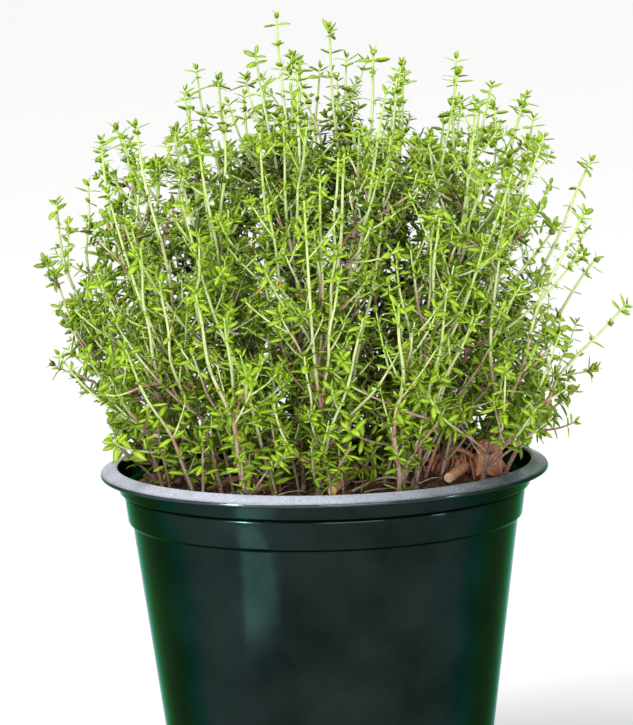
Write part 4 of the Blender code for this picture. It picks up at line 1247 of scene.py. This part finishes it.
def make_pot():
    bm = bmesh.new()
    profile = rounded(pot_profile())
    rings = [circle(bm, radius, z, POT_SIDES) for radius, z in profile]
    skin_rings(bm, rings)
    close_ends(bm, rings, (0, 0, 0), (0, 0, profile[-1][1]))
    pot = mesh_object("pot_body", bm, pot_material())
    cutter = drain_cutter()
    modifier = pot.modifiers.new("drain_slots", "BOOLEAN")
    modifier.operation = "DIFFERENCE"
    modifier.object = cutter
    bpy.context.view_layer.objects.active = pot
    bpy.ops.object.modifier_apply(modifier=modifier.name)
    bpy.data.objects.remove(cutter, do_unlink=True)
    keep_piece(pot, "pot_plastic", "pot")


def drain_cutter():
    bm = bmesh.new()
    middle = (DISC_R + FOOT_INNER_R) / 2
    for i in range(DRAIN_COUNT):
        along = flat_way(math.tau * (i + 0.5) / DRAIN_COUNT)
        across = Vector((-along.y, along.x, 0))
        rings = []
        for z in DRAIN_CUT_Z:
            corners = ((middle + a * DRAIN_LENGTH / 2, b) for a, b in SQUARE)
            places = [along * reach + across * b * DRAIN_WIDTH / 2 for reach, b in corners]
            rings.append([bm.verts.new(place + UP * z) for place in places])
        skin_rings(bm, rings)
        bm.faces.new(reversed(rings[0]))
        bm.faces.new(rings[1])
    return mesh_object("drain_cutter", bm, bpy.data.materials.new("cutter"), False)


def crumbly(x, y):
    """The soil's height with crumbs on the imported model's mound."""
    height = soil_height(x, y)
    for scale, size in CRUMB_LEVELS:
        height += noise.noise(Vector((x, y, 0.3)) * scale) * size
    return height


def make_soil():
    bm = bmesh.new()
    floor = FOOT_Z + FLOOR + GAP
    edge_r = GROOVE_R - WALL - SOIL_CLEAR
    rings = [
        circle(bm, wall_radius(floor) - WALL - GAP, floor, SOIL_SIDES),
        circle(bm, WALL_TOP_R - WALL - SOIL_CLEAR, STEP_Z - STEP_SLOPE, SOIL_SIDES),
        circle(bm, BAND_FOOT_R - WALL - SOIL_CLEAR, STEP_Z + STEP_SLOPE, SOIL_SIDES),
    ]
    count = int(edge_r / SOIL_RING_STEP)
    for i in range(count):
        rings.append(circle(bm, edge_r * (1 - i / count), 0, SOIL_SIDES))
        for vert in rings[-1]:
            vert.co.z = crumbly(vert.co.x, vert.co.y)
    skin_rings(bm, rings)
    close_ends(bm, rings, (0, 0, floor), (0, 0, crumbly(0, 0)))
    soil = mesh_object("soil_body", bm, soil_material(), False)
    soil.data.shade_smooth()
    keep_piece(soil, "potting_soil", "soil")


def put_rod(bm, places, radii, sides, rough=0.0, cut_slot=0):
    """A closed round rod through places, with fibrous sides and flat ends, which may differ in material."""
    seed = Vector((places[0].x, places[0].y, 0)) * 700
    rings = []
    side = (places[-1] - places[0]).orthogonal()
    for i, place in enumerate(places):
        along = (places[min(i + 1, len(places) - 1)] - places[max(i - 1, 0)]).normalized()
        side = square_to(side, along)
        over = along.cross(side)
        radius = blended(radii, i / (len(places) - 1))
        ring = []
        for j in range(sides):
            out = turned(side, over, math.tau * j / sides)
            fibre = noise.noise(out * 3.2 + UP * (i * 0.16) + seed) + noise.noise(out * 7 + seed) * 0.5
            ring.append(bm.verts.new(place + out * radius * (1 + rough * fibre)))
        rings.append(ring)
    skin_rings(bm, rings)
    close_ends(bm, rings, places[0], places[-1])
    bm.faces.ensure_lookup_table()
    for face in bm.faces[-2 * sides:]:
        face.material_index = cut_slot


def make_stick(name, materials):
    """A cut stick with split bark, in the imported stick's place."""
    ends, radii = STICKS[name]
    low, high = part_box(name)
    start, end = (Vector((x, y, 0)) * MM for x, y in ends)
    start.z, end.z = (soil_height(place.x, place.y) for place in (start, end))
    rise = (low[2] + high[2]) / 2 - (start.z + end.z) / 2
    places = [start.lerp(end, i / STICK_RINGS) + UP * rise for i in range(STICK_RINGS + 1)]
    bm = bmesh.new()
    put_rod(bm, places, mm(*radii), STICK_SIDES, 0.16, 1)
    made = mesh_object(name + "_fine", bm, materials[0])
    made.data.materials.append(materials[1])
    keep_piece(made, "cut_wood", name)


def make_slab(name, material):
    """A slab of bark with split fibres along it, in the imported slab's place."""
    middle, size, turn, tilt = SLABS[name]
    bm = bmesh.new()
    bmesh.ops.create_cube(bm, size=1)
    bmesh.ops.subdivide_edges(bm, edges=bm.edges, cuts=SLAB_CUTS, use_grid_fill=True)
    bm.normal_update()
    long_axis = size.index(max(size))
    pull = Vector([7 if axis != long_axis else 1.1 for axis in range(3)])
    for vert in bm.verts:
        wander = noise.noise_vector(vert.co * 1.7 + Vector((*middle, 0))) * 0.14
        grain = noise.noise(vert.co * pull + Vector((*middle, 9))) + 0.5 * noise.noise(vert.co * pull * 2.3)
        fibre = vert.normal * grain * 0.9
        vert.co = Vector((a * b + c) * MM for a, b, c in zip(vert.co + wander, size, fibre))
    slab = mesh_object(name + "_fine", bm, material)
    low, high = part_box(name)
    slab.rotation_euler = (tilt, 0, turn)
    slab.location = (*mm(*middle), (low[2] + high[2]) / 2)
    keep_piece(slab, "bark", name)


def soil_place(rng):
    """A place on the soil's top, evenly over the pot."""
    reach, turn = LITTER_R * math.sqrt(rng.random()), any_turn(rng)
    return on_soil(reach * math.cos(turn), reach * math.sin(turn))


def arched(start, end, thick, arch, steps=14):
    """Places from end to end over the soil, arched between them."""
    start, end = (Vector((x, y, 0)) * MM for x, y in (start, end))
    places = []
    for i in range(steps + 1):
        t = i / steps
        place = start.lerp(end, t)
        wave = noise.noise_vector(place * 90) * 1.4 * MM * math.sin(math.pi * t)
        rise = arch * MM * math.sin(math.pi * t) + thick * MM * 0.6
        places.append(Vector((place.x + wave.x, place.y + wave.y, soil_height(place.x, place.y) + rise)))
    return places


def make_straws(rng, material):
    """Pale dry straws that lie about on the soil."""
    bm = bmesh.new()
    for start, end, thick, arch in PALE_STRAWS:
        put_rod(bm, arched(start, end, thick, arch), (thick * MM, thick * 0.8 * MM), 6)
    for _ in range(STRAWS):
        place = soil_place(rng)
        way = flat_way(any_turn(rng))
        end = place / MM + way * rng.uniform(*STRAW_SIZE[0])
        if end.xy.length < LIP_INNER_R / MM - 6:
            thick = rng.uniform(*STRAW_SIZE[1])
            places = arched((place.x / MM, place.y / MM), end.xy, thick, rng.uniform(0.2, 1.8), 7)
            put_rod(bm, places, (thick * MM, thick * 0.7 * MM), 5)
    keep_piece(mesh_object("dry_straws", bm, material), "cut_wood")


def make_roots(rng, material):
    """Woody roots that arch out of the soil, and shreds of bark that hang from them."""
    bm = bmesh.new()
    for start, end, thick, arch in ROOTS:
        places = arched(start, end, thick, arch, 22)
        put_rod(bm, places, (thick * MM, thick * 1.2 * MM, thick * 0.8 * MM), 10, 0.12)
    for _ in range(HANGING):
        x, y = (middle + rng.gauss(0, 0.5) * spread for middle, spread in zip(HANG_MIDDLE, HANG_SPREAD))
        foot = on_soil(x, y, -MM)
        high = foot + Vector((*scatter(rng, 1.6, 1.6), rng.uniform(5, 11))) * MM
        bend = foot.lerp(high, 0.5) + scatter(rng, 1, 1).to_3d() * MM
        places = [foot.lerp(bend, t).lerp(bend.lerp(high, t), t) for t in (i / 8 for i in range(9))]
        thick = rng.uniform(0.25, 0.75) * MM
        put_rod(bm, places, (thick, thick * 1.2, thick * 0.6), 6, 0.2)
    keep_piece(mesh_object("bark_shreds", bm, material), "bark")


def put_ball(bm, subdivisions, place_at):
    """A ball whose corners are moved by a rule."""
    for vert in bmesh.ops.create_icosphere(bm, subdivisions=subdivisions, radius=1)["verts"]:
        vert.co = place_at(vert.co)


def make_chips(rng, material):
    """Flat chips of bark and wood, half sunk in the soil."""
    bm = bmesh.new()
    for _ in range(CHIPS):
        place = soil_place(rng)
        size = [rng.uniform(*span) * MM for span in CHIP_SIZE]
        turn = Matrix.Rotation(any_turn(rng), 3, "Z") @ Matrix.Rotation(rng.gauss(0, 0.35), 3, "X")
        turn = turn @ Matrix.Rotation(rng.gauss(0, 0.3), 3, "Y")

        def chip(at):
            square = Vector(math.copysign(abs(part) ** CHIP_SQUARE, part) for part in at)
            local = square + noise.noise_vector(at * 1.6 + place * 500) * 0.5
            return turn @ Vector(a * b / 2 for a, b in zip(local, size)) + place + UP * size[2] * 0.3

        put_ball(bm, 2, chip)
    keep_piece(mesh_object("bark_chips", bm, material), "bark")


def make_crumbs(rng, material):
    """Round crumbs of soil that lie loose on its top, and one larger lump at the left."""
    bm = bmesh.new()
    lumps = [(soil_place(rng), rng.uniform(*CRUMB_SIZE) * MM) for _ in range(CRUMBS)]
    x, y, radius = LEFT_LUMP
    lumps.append((Vector((x, y, soil_height(x * MM, y * MM) / MM + 1.4)) * MM, radius * MM))
    for place, radius in lumps:

        def crumb(at):
            wander = 1 + 0.45 * noise.noise(at * 1.3 + place * 900)
            return at * radius * wander + place + UP * radius * 0.25

        put_ball(bm, 1 if radius < FINE_CRUMB else 2, crumb)
    keep_piece(mesh_object("soil_crumbs", bm, material), "potting_soil")


def make_litter():
    """What lies and stands on the soil."""
    rng = random.Random(SEED + 2)
    noise.seed_set(BARK_SEED)
    bark = fibre_material("bark_fine", (0.36, 0.125, 0.07), (0.95, 0.48, 0.29), (1, 1, 0.25), 0.62)
    chips = fibre_material("bark_chips_fine", (0.15, 0.055, 0.028), (0.52, 0.26, 0.15), (1, 1, 1), 0.25)
    wood = fibre_material("cut_wood_fine", (0.72, 0.30, 0.15), (1.0, 0.56, 0.34), (1, 0.3, 1), 1)
    cut = fibre_material("cut_end_fine", (1.0, 0.62, 0.31), (1.0, 0.78, 0.48), (1, 1, 1), 1)
    straw = fibre_material("dry_straw_fine", (0.60, 0.42, 0.29), (0.95, 0.78, 0.60))
    for name in STICKS:
        make_stick(name, (wood, cut))
    for name in SLABS:
        make_slab(name, bark)
    make_roots(rng, bark)
    make_chips(rng, chips)
    make_straws(rng, straw)
    make_crumbs(rng, soil_material())


def make_stage():
    """A plain pale floor."""
    bm = bmesh.new()
    bmesh.ops.create_grid(bm, x_segments=1, y_segments=1, size=14)
    tree = Tree("floor_pale")
    tree.set(Base_Color=FLOOR_COLOUR, Roughness=0.9)
    floor = mesh_object("floor", bm, tree.material, False)
    floor.location.z = -0.05 * MM
    floor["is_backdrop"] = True


def add_light(name, kind, power):
    lamp = bpy.data.lights.new(name, kind)
    lamp.energy = power
    return add_object(name, lamp)


def add_sun(name, way, power):
    """A wide soft light from far away."""
    sun = add_light(name, "SUN", power)
    sun.data.angle = SUN_WIDTH
    sun.rotation_euler = Vector(way).to_track_quat("Z", "Y").to_euler()


def add_box(name, place, size, power):
    """A soft box that is aimed at the plant."""
    box = add_light(name, "AREA", power)
    box.data.shape = "RECTANGLE"
    box.data.size, box.data.size_y = size
    box.location = place
    box.rotation_euler = (BOX_AIM - Vector(place)).to_track_quat("-Z", "Y").to_euler()
    return box


def light_studio():
    """A white room with soft light, shown as it is lit."""
    scene = bpy.context.scene
    scene.view_settings.view_transform = "Standard"
    world = bpy.data.worlds.new("studio")
    world.use_nodes = True
    nodes, links = world.node_tree.nodes, world.node_tree.links
    soft = nodes["Background"]
    seen = nodes.new("ShaderNodeBackground")
    for glow, strength in ((soft, WORLD_SOFT), (seen, WORLD_SEEN)):
        glow.inputs["Color"].default_value = (1, 1, 1, 1)
        glow.inputs["Strength"].default_value = strength
    path = nodes.new("ShaderNodeLightPath")
    mix = nodes.new("ShaderNodeMixShader")
    for number, source in enumerate((path.outputs["Is Camera Ray"], soft.outputs[0], seen.outputs[0])):
        links.new(source, mix.inputs[number])
    links.new(mix.outputs[0], nodes["World Output"].inputs["Surface"])
    scene.world = world
    for sun in SUNS:
        add_sun(*sun)
    for box in BOXES:
        add_box(*box)
    for name, place, size, power, turn in STRIPS:
        strip = add_box(name, place, size, power)
        strip.rotation_euler = turn
        strip.data.color = STRIP_COLOUR
        strip.visible_diffuse = strip.visible_transmission = False


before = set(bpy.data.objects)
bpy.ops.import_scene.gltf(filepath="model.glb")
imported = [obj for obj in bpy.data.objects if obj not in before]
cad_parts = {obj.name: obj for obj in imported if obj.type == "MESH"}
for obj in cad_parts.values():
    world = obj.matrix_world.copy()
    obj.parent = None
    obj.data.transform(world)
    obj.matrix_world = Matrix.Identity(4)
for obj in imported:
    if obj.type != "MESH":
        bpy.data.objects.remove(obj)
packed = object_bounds()
place_camera()
make_pot()
make_soil()
make_thyme((stem_material(), leaf_material()))
make_litter()
make_stage()
light_studio()
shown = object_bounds()
[[list(corner) for corner in box] for box in (packed, shown)]
